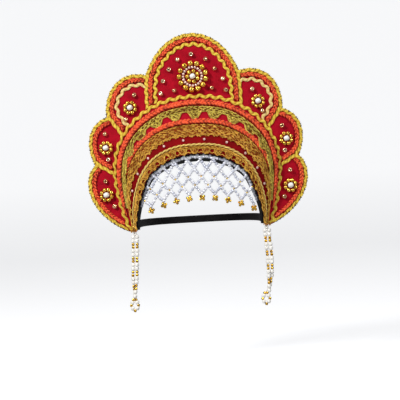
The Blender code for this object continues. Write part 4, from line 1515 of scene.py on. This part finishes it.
@dataclass
class MetalLace:
    """A lace of gold gimp over a dark ground, with scallops at its lower edge.

    band and foot hold, for each point along the bed, the shares across where its band and its
    scallops end; the thread rows keep to the band up to the knee, and then fan out.
    """

    name: str
    node: str
    bed: Bed
    band: Array
    foot: Array
    rows: tuple[tuple[float, float, float, float, float], ...]
    gimp: MetalThread
    ground: MetalThread
    knee: float = 0.55
    ground_lift: float = 0.0006
    ground_edge: float = 0.0003
    ground_step: float = 0.0009
    ground_columns: int = 15
    underside: float = 0.00005
    edge_share: float | None = None
    edge_thread: float = 0.00048
    loop_points: int = 12
    row_phase: float = 1.7
    patch_rate: float = 0.9
    climb_start: float = 0.95
    climb_reach: float = 0.35
    rise: Array | None = None
    head: float = -1.0
    seed: int = 0

    def share(self, distance: Array, v: Array) -> Array:
        """Share across the bed for a share of the lace's own width."""
        band = np.interp(distance, self.bed.along, self.band)
        foot = np.interp(distance, self.bed.along, self.foot)
        inside = np.minimum(v / self.knee, 1.0)
        outside = np.maximum((v - self.knee) / (1.0 - self.knee), 0.0)
        return self.head + (band - self.head) * inside + (foot - band) * outside

    def climb(self, distance: Array, share: Array) -> Array:
        """How much higher the lace lies where it covers the rope below it."""
        if self.rise is None:
            return np.zeros_like(share)
        step = np.clip((share - self.climb_start) / self.climb_reach, 0.0, 1.0)
        return np.interp(distance, self.bed.along, self.rise) * step * step * (3.0 - 2.0 * step)

    def build(self) -> None:
        """Build the lace."""
        rng = np.random.default_rng(SEED + self.seed)
        bed = self.bed
        draft = Draft()
        along = np.linspace(0.0, bed.length, max(int(bed.length / self.ground_step), 20))[:, None]
        across = np.linspace(0.0, 1.0, self.ground_columns)
        share = self.share(along, np.broadcast_to(across, (len(along), self.ground_columns)))
        lift = self.ground_lift + rng.normal(0.0, 0.0001, share.shape)
        lift[:, (0, -1)] = self.ground_edge
        lift += self.climb(along, share)
        top = bed.place(along, share, lift)
        edges = share[:, (-1, 0)]
        low = bed.place(along, edges, self.underside + self.climb(along, edges))
        tint = rng.uniform(0.0, 1.0, share.shape)
        tint = np.concatenate((tint, tint[:, :2]), axis=1)
        grid = np.concatenate((top, low), axis=1)
        draft.sheet(grid, 1, closed=True, along=along, across=0.0, tint=tint)
        draft.close_ends(grid[0], grid[-1], 1)
        for number, row in enumerate(self.rows):
            self.loops(draft, ThreadRow(*row), number, rng)
        if self.edge_share is not None:
            line = along[:, 0]
            path = bed.place(line, self.edge_share + 0.16 * np.sin(line / 0.0008), 0.0009)
            draft.tube(path, self.edge_thread, sides=5, tint=0.8, out=bed.normal(line, self.edge_share))
        draft.sew_on(self.name, (self.gimp, self.ground), "gold_lace", self.node, sharp=THREAD_SHARP)

    def loops(self, draft: Draft, row: ThreadRow, number: int, rng: np.random.Generator) -> None:
        """Lay one row of loops, each a little different.

        Args:
            draft: Where the thread goes.
            row: The row.
            number: Its number, for its phase.
            rng: Source of the differences.
        """
        turns = self.bed.length / row.pitch
        count = int(turns * self.loop_points)
        turn = np.linspace(0.0, turns, count) * math.tau + number * self.row_phase
        steps = np.arange(int(turns) + 3)
        loose = np.interp(turn / math.tau, steps, rng.normal(0.0, 1.0, len(steps)))
        wide = np.interp(turn / math.tau, steps, rng.uniform(0.75, 1.2, len(steps)))
        along = (turn - turn[0]) / math.tau * row.pitch
        along = along + row.pitch * (0.40 * np.sin(2 * turn) + 0.16 * loose)
        along = np.clip(along, 0.0, self.bed.length)
        v = np.clip(row.middle + row.reach * wide * np.sin(turn) + 0.015 * loose, 0.0, 1.03)
        share = self.share(along, v)
        height = self.ground_lift + self.climb(along, share)
        height = height + row.radius * (0.9 + 0.55 * np.cos(2 * turn + 0.8))
        path = self.bed.place(along, share, height)
        patches = turn * self.patch_rate
        last = int(patches[-1]) + 2
        glint = np.interp(patches, np.arange(last), rng.uniform(-1.0, 1.0, last))
        tint = np.clip(row.tint + 0.1 + 0.95 * glint, 0.0, 1.0)
        draft.tube(path, row.radius, sides=5, tint=tint[:, None], out=self.bed.normal(along, share))


@dataclass
class Crescent:
    """Ropes, laces, cord, rim lace and small pearls of the brow band."""

    scallops: int = 15
    fan_half: float = 0.34
    small_scallops: int = 34
    upper_rope_end: float = 84.0
    lower_rope_end: float = 56.0
    upper_lace_end: float = 78.0
    lower_lace_end: float = 95.8
    cord_end: float = 96.2
    rim_end: float = 96.4
    fan_narrowing: tuple[float, float] = (38.0, 58.0)
    fan_merging: tuple[float, float] = (44.0, 51.0)
    rope_covering: tuple[float, float] = (28.0, 42.0)
    rise_fading: tuple[float, float] = (56.5, 60.5)
    rise: float = 0.0026
    fray_count: int = 46
    rim_pitch: float = 0.0132
    rim_half: float = 0.33
    cord_radius: float = 0.0017
    cord_pitch: float = 0.0112
    cord_offset: float = 0.46
    cord_strand: float = 0.56
    cord_lift: float = 0.95
    pearl_radius: float = 0.00135
    pearl_angles: tuple[float, ...] = (-64.0, -50.7, -37.3, -23.2, -9.0, 6.0, 22.0, 37.3, 50.7, 63.7)

    def build(self) -> None:
        """Build the trims, the row of pearls and the cut ends."""
        upper = PlaitedRope("plait_crescent_upper", "crescent_rope_upper", width=0.0080, thickness=0.0031)
        upper.lay(Bed.on_ramp("rope_top", "rope_foot", self.upper_rope_end))
        lower = PlaitedRope("plait_crescent_lower", "crescent_rope_lower", width=0.0068, thickness=0.0029)
        lower.lay(Bed.on_ramp("lace_tips", "rope_two_foot", self.lower_rope_end))
        self.scalloped_lace().build()
        self.wide_lace().build()
        self.rim_cord()
        self.rim_lace().build()
        self.pearls()
        self.fray()

    def scalloped_lace(self) -> MetalLace:
        """The upper lace: a straight band with blunt fans, which meet near both feet."""
        bed = Bed.on_ramp("lace_top", "lace_tips", self.upper_lace_end)
        angle = np.radians(np.linspace(-self.upper_lace_end, self.upper_lace_end, len(bed.along)))
        turn = np.degrees(np.abs(angle))
        top, tips = LAYOUT.station("lace_top", angle), LAYOUT.station("lace_tips", angle)
        narrow = 0.93 - 0.33 * np.interp(turn, self.fan_narrowing, (0.0, 1.0))
        band = -1.0 + 2.0 * (LAYOUT.station("lace_band", angle) - top) / (tips - top) * narrow
        steps = np.linspace(0.0, 3 * self.scallops - 1.0, len(angle))
        merged = np.interp(turn, self.fan_merging, (0.0, 1.0))
        fan = np.maximum(self.fans((steps - 1.0) / 3.0, self.fan_half, 2.6), merged)
        cover = -1.0 + 2.0 * (LAYOUT.station("rope_two_foot", angle) - top) / (tips - top)
        laid = np.interp(turn, self.rope_covering, (0.0, 1.0))
        foot = band + (1.05 + ((0.96 + 0.03 * merged) * cover - 1.05) * laid - band) * fan
        rise = self.rise * np.interp(turn, self.rise_fading, (1.0, 0.0))
        rows = (
            (0.07, 0.05, 0.0044, 0.00048, 0.75), (0.31, 0.15, 0.0060, 0.00050, 0.5),
            (0.53, 0.04, 0.0040, 0.00046, 0.7), (0.66, 0.10, 0.0042, 0.00044, 0.4),
            (0.76, 0.17, 0.0034, 0.00044, 0.5), (0.87, 0.09, 0.0038, 0.00044, 0.6),
            (0.97, 0.04, 0.0040, 0.00046, 0.7),
        )
        return MetalLace("lace_scalloped", "gold_lace_upper", bed, band, foot, rows, GIMP_OLIVE,
                         GROUND_OLIVE, rise=rise, head=-1.06, seed=3)

    def wide_lace(self) -> MetalLace:
        """The lower lace, with small scallops."""
        bed = Bed.on_ramp("rope_two_foot", "lace_two_foot", self.lower_lace_end)
        wave = np.abs(np.sin(math.pi * self.small_scallops * bed.along / bed.length))
        band = 1.0 - 0.0012 / bed.half
        foot = band + 0.0026 / bed.half * wave
        rows = (
            (0.06, 0.05, 0.0044, 0.00048, 0.7), (0.26, 0.12, 0.0062, 0.00050, 0.45),
            (0.47, 0.11, 0.0054, 0.00048, 0.55), (0.68, 0.11, 0.0064, 0.00050, 0.45),
            (0.85, 0.05, 0.0042, 0.00046, 0.7), (0.96, 0.06, 0.0034, 0.00044, 0.8),
        )
        return MetalLace("lace_wide", "gold_lace_lower", bed, band, foot, rows, GIMP_AMBER,
                         GROUND_AMBER, knee=0.86, seed=4)

    def rim_cord(self) -> None:
        """The bright twisted cord along the rim."""
        bed = Bed.on_ramp("cord_top", "cord_foot", self.cord_end)
        along = np.linspace(0.0, bed.length, int(bed.length / 0.0004))
        draft = Draft()
        radius = np.minimum(bed.half_at(along) + LAYOUT.trim_gap / 2, self.cord_radius)
        for number in range(2):
            turn = math.tau * (along / self.cord_pitch + number / 2)
            share = radius * self.cord_offset * np.cos(turn) / bed.half_at(along)
            height = LAYOUT.gap / 2 + radius * (self.cord_lift + self.cord_offset * np.sin(turn))
            path = bed.place(along, share, height)
            # Painted shade: each strand is lighter where it rides on top of the other and darker where it
            # dips under.
            tint = 0.55 + 0.5 * np.sin(turn)
            draft.tube(path, radius * self.cord_strand, sides=8, tint=np.clip(tint, 0.0, 1.0)[:, None],
                       out=bed.normal(along, share))
        draft.sew_on("rim_twist", (CORD,), "gold_cord", "rim_cord", sharp=THREAD_SHARP)

    def rim_lace(self) -> MetalLace:
        """The lace at the rim: fans that droop over the edge, with gaps between them."""
        bed = Bed.on_ramp("cord_foot", "edge", self.rim_end)
        fan = self.fans(bed.along / self.rim_pitch, self.rim_half, 4.0)
        band = np.full_like(bed.along, -0.35)
        foot = band + (1.0 + 0.0011 / bed.half - band) * fan
        rows = (
            (0.10, 0.08, 0.0036, 0.00044, 0.7), (0.34, 0.14, 0.0048, 0.00046, 0.5),
            (0.55, 0.04, 0.0036, 0.00042, 0.7), (0.78, 0.18, 0.0031, 0.00042, 0.5),
            (0.97, 0.04, 0.0036, 0.00044, 0.75),
        )
        return MetalLace("rim_scallops", "rim_lace", bed, band, foot, rows, GIMP_AMBER, GROUND_AMBER,
                         seed=5, edge_share=0.74)

    @staticmethod
    def fans(turns: Array, half: float, power: float) -> Array:
        """How far fans of a half width reach down, from 0 to 1; a power above two makes them blunter."""
        place = np.abs((turns + 0.5) % 1.0 - 0.5)
        return np.clip(1.0 - (place / half) ** power, 0.0, 1.0)

    def fray(self) -> None:
        """Cut ends of lace and rope that peep out below both feet."""
        rng = np.random.default_rng(SEED + 23)
        draft = Draft()
        for side in Side:
            for _ in range(self.fray_count):
                angle = np.array(side.value * LAYOUT.foot_angle * 0.992)
                share = np.array(rng.uniform(-0.1, 1.0))
                shift = np.array((0.0, rng.uniform(-0.0012, 0.0006), 0.0005))
                start = LAYOUT.ramp_point(angle, share) + shift
                reach = np.array((side.value * rng.normal(-0.0003, 0.0006), rng.normal(-0.0002, 0.0005),
                                  -rng.uniform(0.0012, 0.0034)))
                bend = rng.normal(0.0, 0.0004, 3)
                t = np.linspace(0.0, 1.0, 6)[:, None]
                path = start + reach * t + bend * np.sin(t * 3.0)
                slot = int(rng.uniform(0.0, 1.0) > 0.8)
                draft.tube(path, rng.uniform(0.00022, 0.00036), sides=5, slot=slot,
                           tint=float(rng.uniform(0.1, 0.9)))
        draft.sew_on("foot_fray", (GIMP_AMBER, ORANGE), "gold_lace")

    def pearls(self) -> None:
        """Small pearls on the dark band."""
        angle = np.radians(np.array(self.pearl_angles))
        share = (LAYOUT.station("lace_two_foot", angle) + LAYOUT.station("cord_top", angle)) / 2
        normal = LAYOUT.ramp_normal(angle, share)
        centres = LAYOUT.ramp_point(angle, share) + normal * self.pearl_radius * 0.9
        draft = Draft()
        draft.beads(Shape.pierced(14, 10, 0.2, 0.94), centres, self.pearl_radius,
                    axes=np.roll(normal, 1, axis=1))
        draft.sew_on("band_pearls", (PINK_PEARL,), "pearl")


@dataclass
class Rosettes:
    """Rings of gold beads round a pearl, and the crystal beads scattered about them."""

    pearl_radius: float = 0.0030
    crystal_radius: float = 0.0027
    centre_rings: tuple[tuple[int, float, float], ...] = ((7, 0.0062, 0.0023), (13, 0.0156, 0.0030))
    side_rings: tuple[tuple[int, float, float], ...] = ((8, 0.0063, 0.0022),)
    seed_ring: tuple[int, float, float] = (20, 0.0109, 0.0016)
    rng: np.random.Generator = field(default_factory=lambda: np.random.default_rng(SEED + 11))
    scattered: dict[str, tuple[tuple[float, float], ...]] = field(default_factory=lambda: {
        "centre": (
            (-0.3, 26.2), (-16.4, 20.8), (16.2, 19.6), (-26.9, 9.5), (25.9, 8.1), (-34.4, -3.7),
            (34.6, -4.3), (-37.7, -18.1), (-22.0, -15.2), (21.6, -14.4), (37.5, -17.4),
        ),
        "upper_left": ((5.4, 14.5), (-5.7, -13.1)),
        "middle_left": ((-0.5, 16.4), (2.2, -13.6)),
        "lower_left": ((-0.8, 16.1), (8.7, -13.4)),
        "upper_right": ((-5.8, 14.3), (4.6, -11.4)),
        "middle_right": ((-3.8, 15.4), (-2.4, -13.5)),
        "lower_right": ((0.8, 17.7), (-7.8, -12.5)),
    })

    def build(self) -> None:
        """Build rings, pearls and scattered beads."""
        crystals = Draft()
        crystal = Shape.pierced(10, 8, 0.3, 0.72, 0.75)
        for label, lobe, side in lobe_places():
            middle = LAYOUT.rosette_place(lobe, side)
            self.ring(label, middle, lobe is Lobe.CENTRE)
            self.pearl(label, middle)
            places = middle + np.array(self.scattered[label]) * 0.001
            points = LAYOUT.panel_point(places) + LAYOUT.panel_normal(places) * self.crystal_radius * 0.75
            axes = self.rng.normal(0.0, 0.6, points.shape) + LAYOUT.panel_normal(places)
            crystals.beads(crystal, points, self.crystal_radius, axes=axes,
                           tint=self.rng.uniform(0.2, 1.0, len(points)))
        crystals.sew_on("crystal_beads", (CRYSTAL,), "gold_bead", sharp=THREAD_SHARP)

    def on_panel(self, middle: Array, offsets: Array, lift: float) -> tuple[Array, Array]:
        """Points over the panel round a rosette's middle, with their normals."""
        places = middle + offsets
        normal = LAYOUT.panel_normal(places)
        return LAYOUT.panel_point(places) + normal * lift, normal

    def round(
        self, middle: Array, ring: tuple[int, float, float], start: float, lift: float,
    ) -> tuple[Array, Array, Array]:
        """Where the beads of a ring lie.

        Args:
            middle: X and Z of the rosette.
            ring: Count, ring radius and bead radius.
            start: Where the first bead lies, in beads.
            lift: How far the beads lie above the panel.

        Returns:
            The beads' middles, the normals there and the directions of their thread.
        """
        count, radius, bead_radius = ring
        turn = math.tau * (np.arange(count) + start) / count
        points, normal = self.on_panel(middle, radius * circle(turn), LAYOUT.gap + lift + bead_radius)
        return points, normal, np.stack((-np.sin(turn), np.zeros(count), np.cos(turn)), axis=1)

    def ring(self, label: str, middle: Array, centre: bool) -> None:
        """The gold beads of one rosette, sewn to a small round of felt.

        Args:
            label: The lobe's label.
            middle: X and Z of the rosette.
            centre: True for the large rosette, which has a ring of seed beads.
        """
        rings = self.centre_rings if centre else self.side_rings
        draft = Draft()
        bead = Shape.pierced(18, 12, 0.2, 0.92)
        for ring in rings:
            points, normal, axes = self.round(middle, ring, 0.5, 0.0005)
            axes = axes + normal * self.rng.normal(0.0, 0.25, (ring[0], 1))
            draft.beads(bead, points, ring[2], axes=axes, tint=self.rng.uniform(0.3, 1.0, ring[0]))
        if centre:
            points, _, axes = self.round(middle, self.seed_ring, 0.0, 0.0008)
            draft.beads(Shape.pierced(12, 8, 0.3, 0.75, 0.8), points, self.seed_ring[2], axes=axes, slot=1,
                        tint=self.rng.uniform(0.2, 1.0, self.seed_ring[0]))
        self.felt(draft, middle, rings[-1][1] + rings[-1][2] * 0.45)
        draft.sew_on(f"bead_ring_{label}", (GOLD, PINK_PEARL, CRIMSON), "gold_bead", f"rosette_ring_{label}")

    def felt(self, draft: Draft, middle: Array, radius: float) -> None:
        """The round of felt that the beads are sewn to."""
        turn = np.linspace(0.0, math.tau, 49)[:-1]
        rows = []
        for share, lift in ((0.02, 0.0007), (0.6, 0.00075), (0.96, 0.00065), (1.0, 0.0004), (0.98, 0.0001)):
            offsets = radius * share * circle(turn)
            rows.append(self.on_panel(middle, offsets, lift)[0])
        draft.sheet(np.array(rows), 2, closed=True)
        draft.cap(rows[0], 2, flip=True)

    def pearl(self, label: str, middle: Array) -> None:
        """The pearl in the middle of a rosette."""
        draft = Draft()
        lift = 2 * LAYOUT.gap + 0.0008 + self.pearl_radius
        points, _ = self.on_panel(middle, np.zeros((1, 2)), lift)
        draft.beads(Shape.pierced(28, 20, 0.1, 0.97), points, self.pearl_radius, tint=1.0,
                    axes=np.array(((0.9, -0.25, 0.3),)))
        draft.sew_on(f"pearl_{label}", (PEARL,), "pearl", f"rosette_pearl_{label}")


@dataclass
class ForeheadNet:
    """The net of white seed beads, with gold ones at its lower knots and drops at its tips."""

    pitch: float = 0.0146
    row: float = 0.00975
    top_drop: float = 0.0062
    sag: float = 0.0150
    sag_reach: float = 0.0620
    shift: float = -0.0036
    setback: float = 0.0045
    rows: int = 5
    side: float = 0.0660
    bead_radius: float = 0.00190
    drop_bead: float = 0.00160
    knot_gold: float = 0.0011
    gold_rows: tuple[int, int] = (2, 3)
    string_end: float = 74.0
    strand_steps: int = 4
    bead: Shape = field(default_factory=lambda: Shape.pierced(12, 8, 0.25, 0.77))
    draft: Draft = field(default_factory=Draft)
    rng: np.random.Generator = field(default_factory=lambda: np.random.default_rng(SEED + 13))

    def front(self, x: Array) -> Array:
        """Y of the net, which hangs plumb from the opening's edge."""
        angle = np.radians(np.linspace(0.0, 75.0, 1501))
        edge = LAYOUT.polar(angle, LAYOUT.opening_radius(angle))
        return np.interp(np.abs(x), edge[:, 0], LAYOUT.rim_front(edge[:, 1])) + self.setback

    def knot(self, row: float, x: float) -> Array:
        """The place of a knot."""
        top = LAYOUT.opening - LAYOUT.head_radius - self.top_drop
        z = top - self.row * row - self.sag * (x / self.sag_reach) ** 2
        return np.array((x, float(self.front(np.array(x))), z))

    def inside(self, point: Array) -> bool:
        """True for a point below the opening's edge."""
        angle = math.atan2(point[0], point[2] + LAYOUT.head_radius)
        limit = LAYOUT.head_band_radius(np.array(angle), np.array(point[1]))
        return math.hypot(point[0], point[2] + LAYOUT.head_radius) < float(limit) - LAYOUT.trim_gap

    def places(self, row: int) -> list[float]:
        """X of the knots of a row."""
        shift = 0.5 if row % 2 == 0 else 0.0
        count = int(2 * self.side / self.pitch) + 2
        values = [self.shift + (step + shift) * self.pitch for step in range(-count, count)]
        return [x for x in values if abs(x) < self.side]

    def build(self) -> None:
        """Build the net and its drops."""
        self.top_string()
        knots_seen = set()
        for row in range(-2, self.rows - 1):
            for x in self.places(row):
                start = self.knot(row, x)
                for lean in (-0.5, 0.5):
                    self.strand(start, self.knot(row + 1, x + lean * self.pitch))
                if self.inside(start):
                    knots_seen.add((row, round(x, 5)))
        tips = self.places(self.rows - 1)
        knots_seen.update((self.rows - 1, round(x, 5)) for x in tips)
        for row, x in sorted(knots_seen):
            gold = row in self.gold_rows
            place = self.knot(row, x)[None] - np.array((0.0, 0.0008 if gold else 0.0, 0.0))
            self.draft.beads(Shape.ball(12, 8), place, self.knot_gold if gold else self.bead_radius,
                             slot=1 if gold else 0, tint=float(self.rng.uniform(0.3, 1.0)))
        self.draft.sew_on("seed_net", (SEED_WHITE, GOLD), "seed_bead", "forehead_net")
        for number, x in enumerate(tips, start=1):
            self.drop(number, x)

    def strand(self, start: Array, end: Array) -> None:
        """Thread three beads from an upper knot to a lower one, as far as the opening's edge."""
        if abs(end[0]) > self.side:
            return
        rng = self.rng
        bow = rng.normal(0.0, 0.0004, 3) - np.array((0.0, 0.0, 0.0004))
        for step in range(1, self.strand_steps):
            t = step / self.strand_steps
            point = start + (end - start) * t + bow * math.sin(math.pi * t)
            if not self.inside(point):
                continue
            point = point + rng.normal(0.0, 0.00016, 3)
            axis = unit(end - start) + rng.normal(0.0, 0.12, 3)
            self.draft.beads(self.bead, point[None], self.bead_radius * float(rng.uniform(0.88, 1.06)),
                             axes=axis[None], tint=float(rng.uniform(0.0, 1.0)))

    def top_string(self) -> None:
        """Thread the string of beads along the opening, from which the net hangs."""
        angle = np.radians(np.linspace(-self.string_end, self.string_end, 801))
        place = LAYOUT.polar(angle, LAYOUT.opening_radius(angle))
        y = self.front(place[:, 0])
        radius = LAYOUT.head_band_radius(angle, y) - self.bead_radius - LAYOUT.trim_gap
        place = LAYOUT.polar(angle, radius)
        line = np.column_stack((place[:, 0], y, place[:, 1]))
        line = resample(line, int(float(np.sum(steps_of(line))) / (1.60 * self.bead_radius)))
        points = line + self.rng.normal(0.0, 0.00018, line.shape)
        self.draft.beads(self.bead, points, self.bead_radius * self.rng.uniform(0.88, 1.04, len(points)),
                         axes=np.gradient(line, axis=0), tint=self.rng.uniform(0.0, 1.0, len(points)))

    def drop(self, number: int, x: float) -> None:
        """A cluster of gold beads under a tip.

        Args:
            number: The drop's number, from the left.
            x: Where it hangs.
        """
        tip = self.knot(self.rows - 1, x)
        size = self.drop_bead
        cluster = np.array(((-1.05, -0.4, 1.0), (1.05, -0.3, 1.0), (-1.05, -0.3, -1.0), (1.05, -0.4, -1.0),
                            (0.0, -1.5, 0.0), (0.0, 0.9, 0.0)))
        turn = self.rng.uniform(-0.6, 0.6)
        spin = np.array(((math.cos(turn), 0.0, math.sin(turn)), (0.0, 1.0, 0.0),
                         (-math.sin(turn), 0.0, math.cos(turn))))
        offsets = (cluster @ spin + np.array((0.0, 0.0, -3.1))) * size
        draft = Draft()
        draft.beads(Shape.pierced(14, 10, 0.18, 0.9), tip + offsets, size,
                    axes=self.rng.normal(0.0, 1.0, offsets.shape),
                    tint=self.rng.uniform(0.3, 1.0, len(offsets)))
        draft.sew_on(f"gold_drop_{number}", (GOLD,), "gold_bead", f"net_drop_{number}")


@dataclass
class TempleStrings:
    """The two hanging double strings of pearls and gold beads."""

    radius: float = 0.0044
    pearl: float = 0.0023
    gold: float = 0.0017
    loop_height: float = 0.0160
    thread: float = 0.00025
    samples: int = 400
    twist: float = 5.0
    pair_space: float = 1.03
    slip: float = 0.0024
    loop_middle: float = 0.0076
    pearl_shape: Shape = field(default_factory=lambda: Shape.pierced(18, 12, 0.14, 0.95))
    gold_shape: Shape = field(default_factory=lambda: Shape.pierced(14, 10, 0.2, 0.92))
    routes: dict[Side, tuple[tuple[float, float], ...]] = field(default_factory=lambda: {
        Side.LEFT: (
            (0.0, 0.0), (-0.6, -12.0), (-1.2, -24.0), (-1.9, -36.0), (-2.6, -48.0), (-3.2, -60.0),
            (-3.8, -72.0), (-4.3, -83.0), (-4.7, -93.0),
        ),
        Side.RIGHT: (
            (0.0, 0.0), (0.6, -12.0), (1.4, -24.0), (2.0, -36.0), (2.1, -48.0), (1.4, -60.0),
            (-0.2, -72.0), (-2.4, -83.0), (-4.4, -93.0),
        ),
    })

    def top(self, side: Side) -> Array:
        """Where a string starts, under the brow band's foot."""
        x_top = LAYOUT.foot[0] + LAYOUT.brow_wall
        foot_angle = np.array(LAYOUT.foot_angle)
        y = (LAYOUT.rim_front(LAYOUT.foot[1]) + LAYOUT.head_band_back(foot_angle)) / 2
        z = (x_top + self.radius) / math.tan(LAYOUT.foot_angle) - LAYOUT.head_radius - 2 * LAYOUT.gap
        return np.array((side.value * x_top, float(y), z))

    def build(self) -> None:
        """Build both strings."""
        for side in Side:
            self.string(side)

    def string(self, side: Side) -> None:
        """One string: pearls in pairs, gold in pairs, and a loop at its end."""
        rng = np.random.default_rng(SEED + 17 + int(side.value))
        route = np.array(self.routes[side]) * 0.001
        top = self.top(side)
        line = resample(np.column_stack((top[0] + route[:, 0], np.full(len(route), top[1]),
                                         top[2] + route[:, 1])), self.samples)
        lengths = np.linspace(0.0, 1.0, self.samples)
        total = float(np.sum(steps_of(line)))
        draft = Draft()
        distance = total - self.loop_height
        threads: tuple[list[Array], list[Array]] = ([], [])
        number = 0
        while distance > self.pearl:
            gold = number % 4 > 1
            size = self.gold if gold else self.pearl
            distance -= size
            at = distance / total
            place = np.array([np.interp(at, lengths, line[:, k]) for k in range(3)])
            loose = max(at - 0.5, 0.0)
            twist = loose * self.twist * side.value
            spread = np.array((math.cos(twist), math.sin(twist), 0.0)) * self.pearl * self.pair_space
            if gold and distance < self.gold + self.pearl:
                draft.beads(self.pearl_shape, place[None], self.pearl, tint=0.5)
                break
            for sign, thread in zip((-1.0, 1.0), threads):
                slip = np.array((0.0, 0.0, loose * self.slip * sign))
                point = place + spread * sign + slip + rng.normal(0.0, 0.00012, 3)
                thread.append(point)
                shape = self.gold_shape if gold else self.pearl_shape
                draft.beads(shape, point[None], size, slot=1 if gold else 0,
                            axes=np.array(((0.05, 0.1, 1.0),)), tint=float(rng.uniform(0.0, 0.55)))
            distance -= size
            number += 1
        start = top + np.array((0.0, 0.0, self.pearl))
        for thread in threads:
            path = np.array([line[-1] + (0.0, 0.0, self.loop_height), *thread, start])
            draft.tube(path, self.thread, sides=5)
        self.loop(draft, line[-1], rng)
        label = side.name.lower()
        draft.sew_on(f"bead_string_{label}", (PEARL, GOLD), "string_bead", f"temple_string_{label}")

    def loop(self, draft: Draft, tip: Array, rng: np.random.Generator) -> None:
        """Four pearls with gold beads between them, at the string's end.

        Args:
            draft: Where the beads go.
            tip: The string's lowest point.
            rng: Source of the small differences between beads.
        """
        middle = tip + np.array((0.0, 0.0, self.loop_middle))
        square = np.array(((-2.8, 3.5), (2.8, 3.5), (-2.8, -3.1), (2.8, -3.1))) * 0.001
        small = np.array(((-1.6, 6.7), (1.6, 6.7), (-4.1, 0.2), (4.1, 0.2), (0.0, -6.0))) * 0.001
        turn = np.linspace(0.0, math.tau, 25)[:-1]
        ring = middle + np.column_stack((0.0036 * np.sin(turn), np.zeros(24), 0.0058 * np.cos(turn)))
        draft.tube(ring, self.thread, sides=5, closed=True)
        for places, size, shape, slot in (
            (square, self.pearl, self.pearl_shape, 0), (small, self.gold, self.gold_shape, 1),
        ):
            points = middle + np.column_stack((places[:, 0], np.zeros(len(places)), places[:, 1]))
            draft.beads(shape, points, size, slot=slot, axes=np.tile((0.3, 0.0, 1.0), (len(points), 1)),
                        tint=rng.uniform(0.15, 0.7, len(points)))


@dataclass
class Studio:
    """Floor, soft lights and the camera."""

    camera_place: tuple[float, float, float] = (0.0010, -1.280, -0.0450)
    aim: tuple[float, float, float] = (0.0, 0.0, 0.02)
    boxes: tuple[tuple[str, tuple[float, float, float], float, float], ...] = (
        ("soft_box_left", (-1.05, -1.05, 1.00), 0.36, 27.0),
        ("soft_box_right", (1.15, -1.15, 0.60), 0.32, 9.5),
        ("soft_box_top", (0.0, -0.2, 1.6), 1.2, 5.0),
    )
    roll: float = math.radians(3.1)
    lens: float = 100.0
    sensor: float = 36.0
    sight: float = 50.0
    floor: float = -0.242
    floor_flat: float = 3.0
    wall_bend: float = 2.5
    wall_height: float = 4.0
    floor_sides: int = 96
    bend_points: int = 13
    sky: float = 0.27
    sky_colour: Colour = (0.93, 0.96, 1.0)
    glow_low: float = 0.74
    glow_high: float = 0.84

    def build(self) -> None:
        """Set up the studio."""
        self.backdrop()
        self.lights()
        self.camera()

    def backdrop(self) -> None:
        """A wide pale floor that rises all round into a wall, under a pale sky."""
        turn = math.tau * np.arange(self.floor_sides) / self.floor_sides
        bend = np.linspace(0.0, math.pi / 2, self.bend_points)
        radii = np.concatenate(([0.001, 1.5], self.floor_flat + self.wall_bend * np.sin(bend)))
        heights = np.concatenate(([0.0, 0.0], self.wall_bend * (1.0 - np.cos(bend))))
        radii, heights = np.append(radii, radii[-1]), np.append(heights, self.wall_height)
        flat = radii[:, None, None] * circle(turn)
        level = np.broadcast_to((self.floor + heights)[:, None, None], (*flat.shape[:2], 1))
        draft = Draft()
        draft.sheet(np.concatenate((flat, level), axis=2), closed=True)
        paper = Paper("pale floor", (0.985, 0.99, 1.0), (0.45, 0.45, 0.46), self.floor, self.glow_low,
                      self.glow_high)
        item = draft.make("floor", (paper,))
        world = bpy.data.worlds.new("studio")
        world.use_nodes = True
        background = world.node_tree.nodes["Background"]
        background.inputs["Color"].default_value = (*self.sky_colour, 1.0)
        background.inputs["Strength"].default_value = self.sky
        bpy.context.scene.world = world
        bpy.context.scene.view_settings.view_transform = "Standard"

    def lights(self) -> None:
        """Two large soft boxes in front, left and right, and a wide weak one above."""
        for name, place, size, power in self.boxes:
            light = bpy.data.lights.new(name, "AREA")
            light.shape = "SQUARE"
            light.size = size
            light.energy = power
            item = bpy.data.objects.new(name, light)
            item.location = place
            direction = Vector(self.aim) - Vector(place)
            item.rotation_euler = direction.to_track_quat("-Z", "Y").to_euler()
            item.visible_camera = False
            bpy.context.scene.collection.objects.link(item)

    def camera(self) -> None:
        """The camera at the photograph's viewing angle, rolled a little."""
        data = bpy.data.cameras.new("camera")
        data.lens = self.lens
        data.sensor_width = self.sensor
        data.clip_end = self.sight
        item = bpy.data.objects.new("camera", data)
        cosine, sine = math.cos(self.roll), math.sin(self.roll)
        turn = Matrix(((cosine, sine, 0.0), (0.0, 0.0, -1.0), (-sine, cosine, 0.0))).to_4x4()
        item.matrix_world = Matrix.Translation(Vector(self.camera_place)) @ turn
        bpy.context.scene.collection.objects.link(item)
        bpy.context.scene.camera = item


def main() -> None:
    """Build every piece in order, then the studio."""
    logging.basicConfig(level=logging.INFO, format="%(name)s: %(message)s")
    for part in (PanelPiece(), BrowPiece(), HeadBandPiece(), NapeElastic(), LobeTrims(), Crescent(),
                 Rosettes(), ForeheadNet(), TempleStrings(), Studio()):
        LOG.info("building %s", type(part).__name__)
        part.build()


if __name__ == "__main__":
    main()
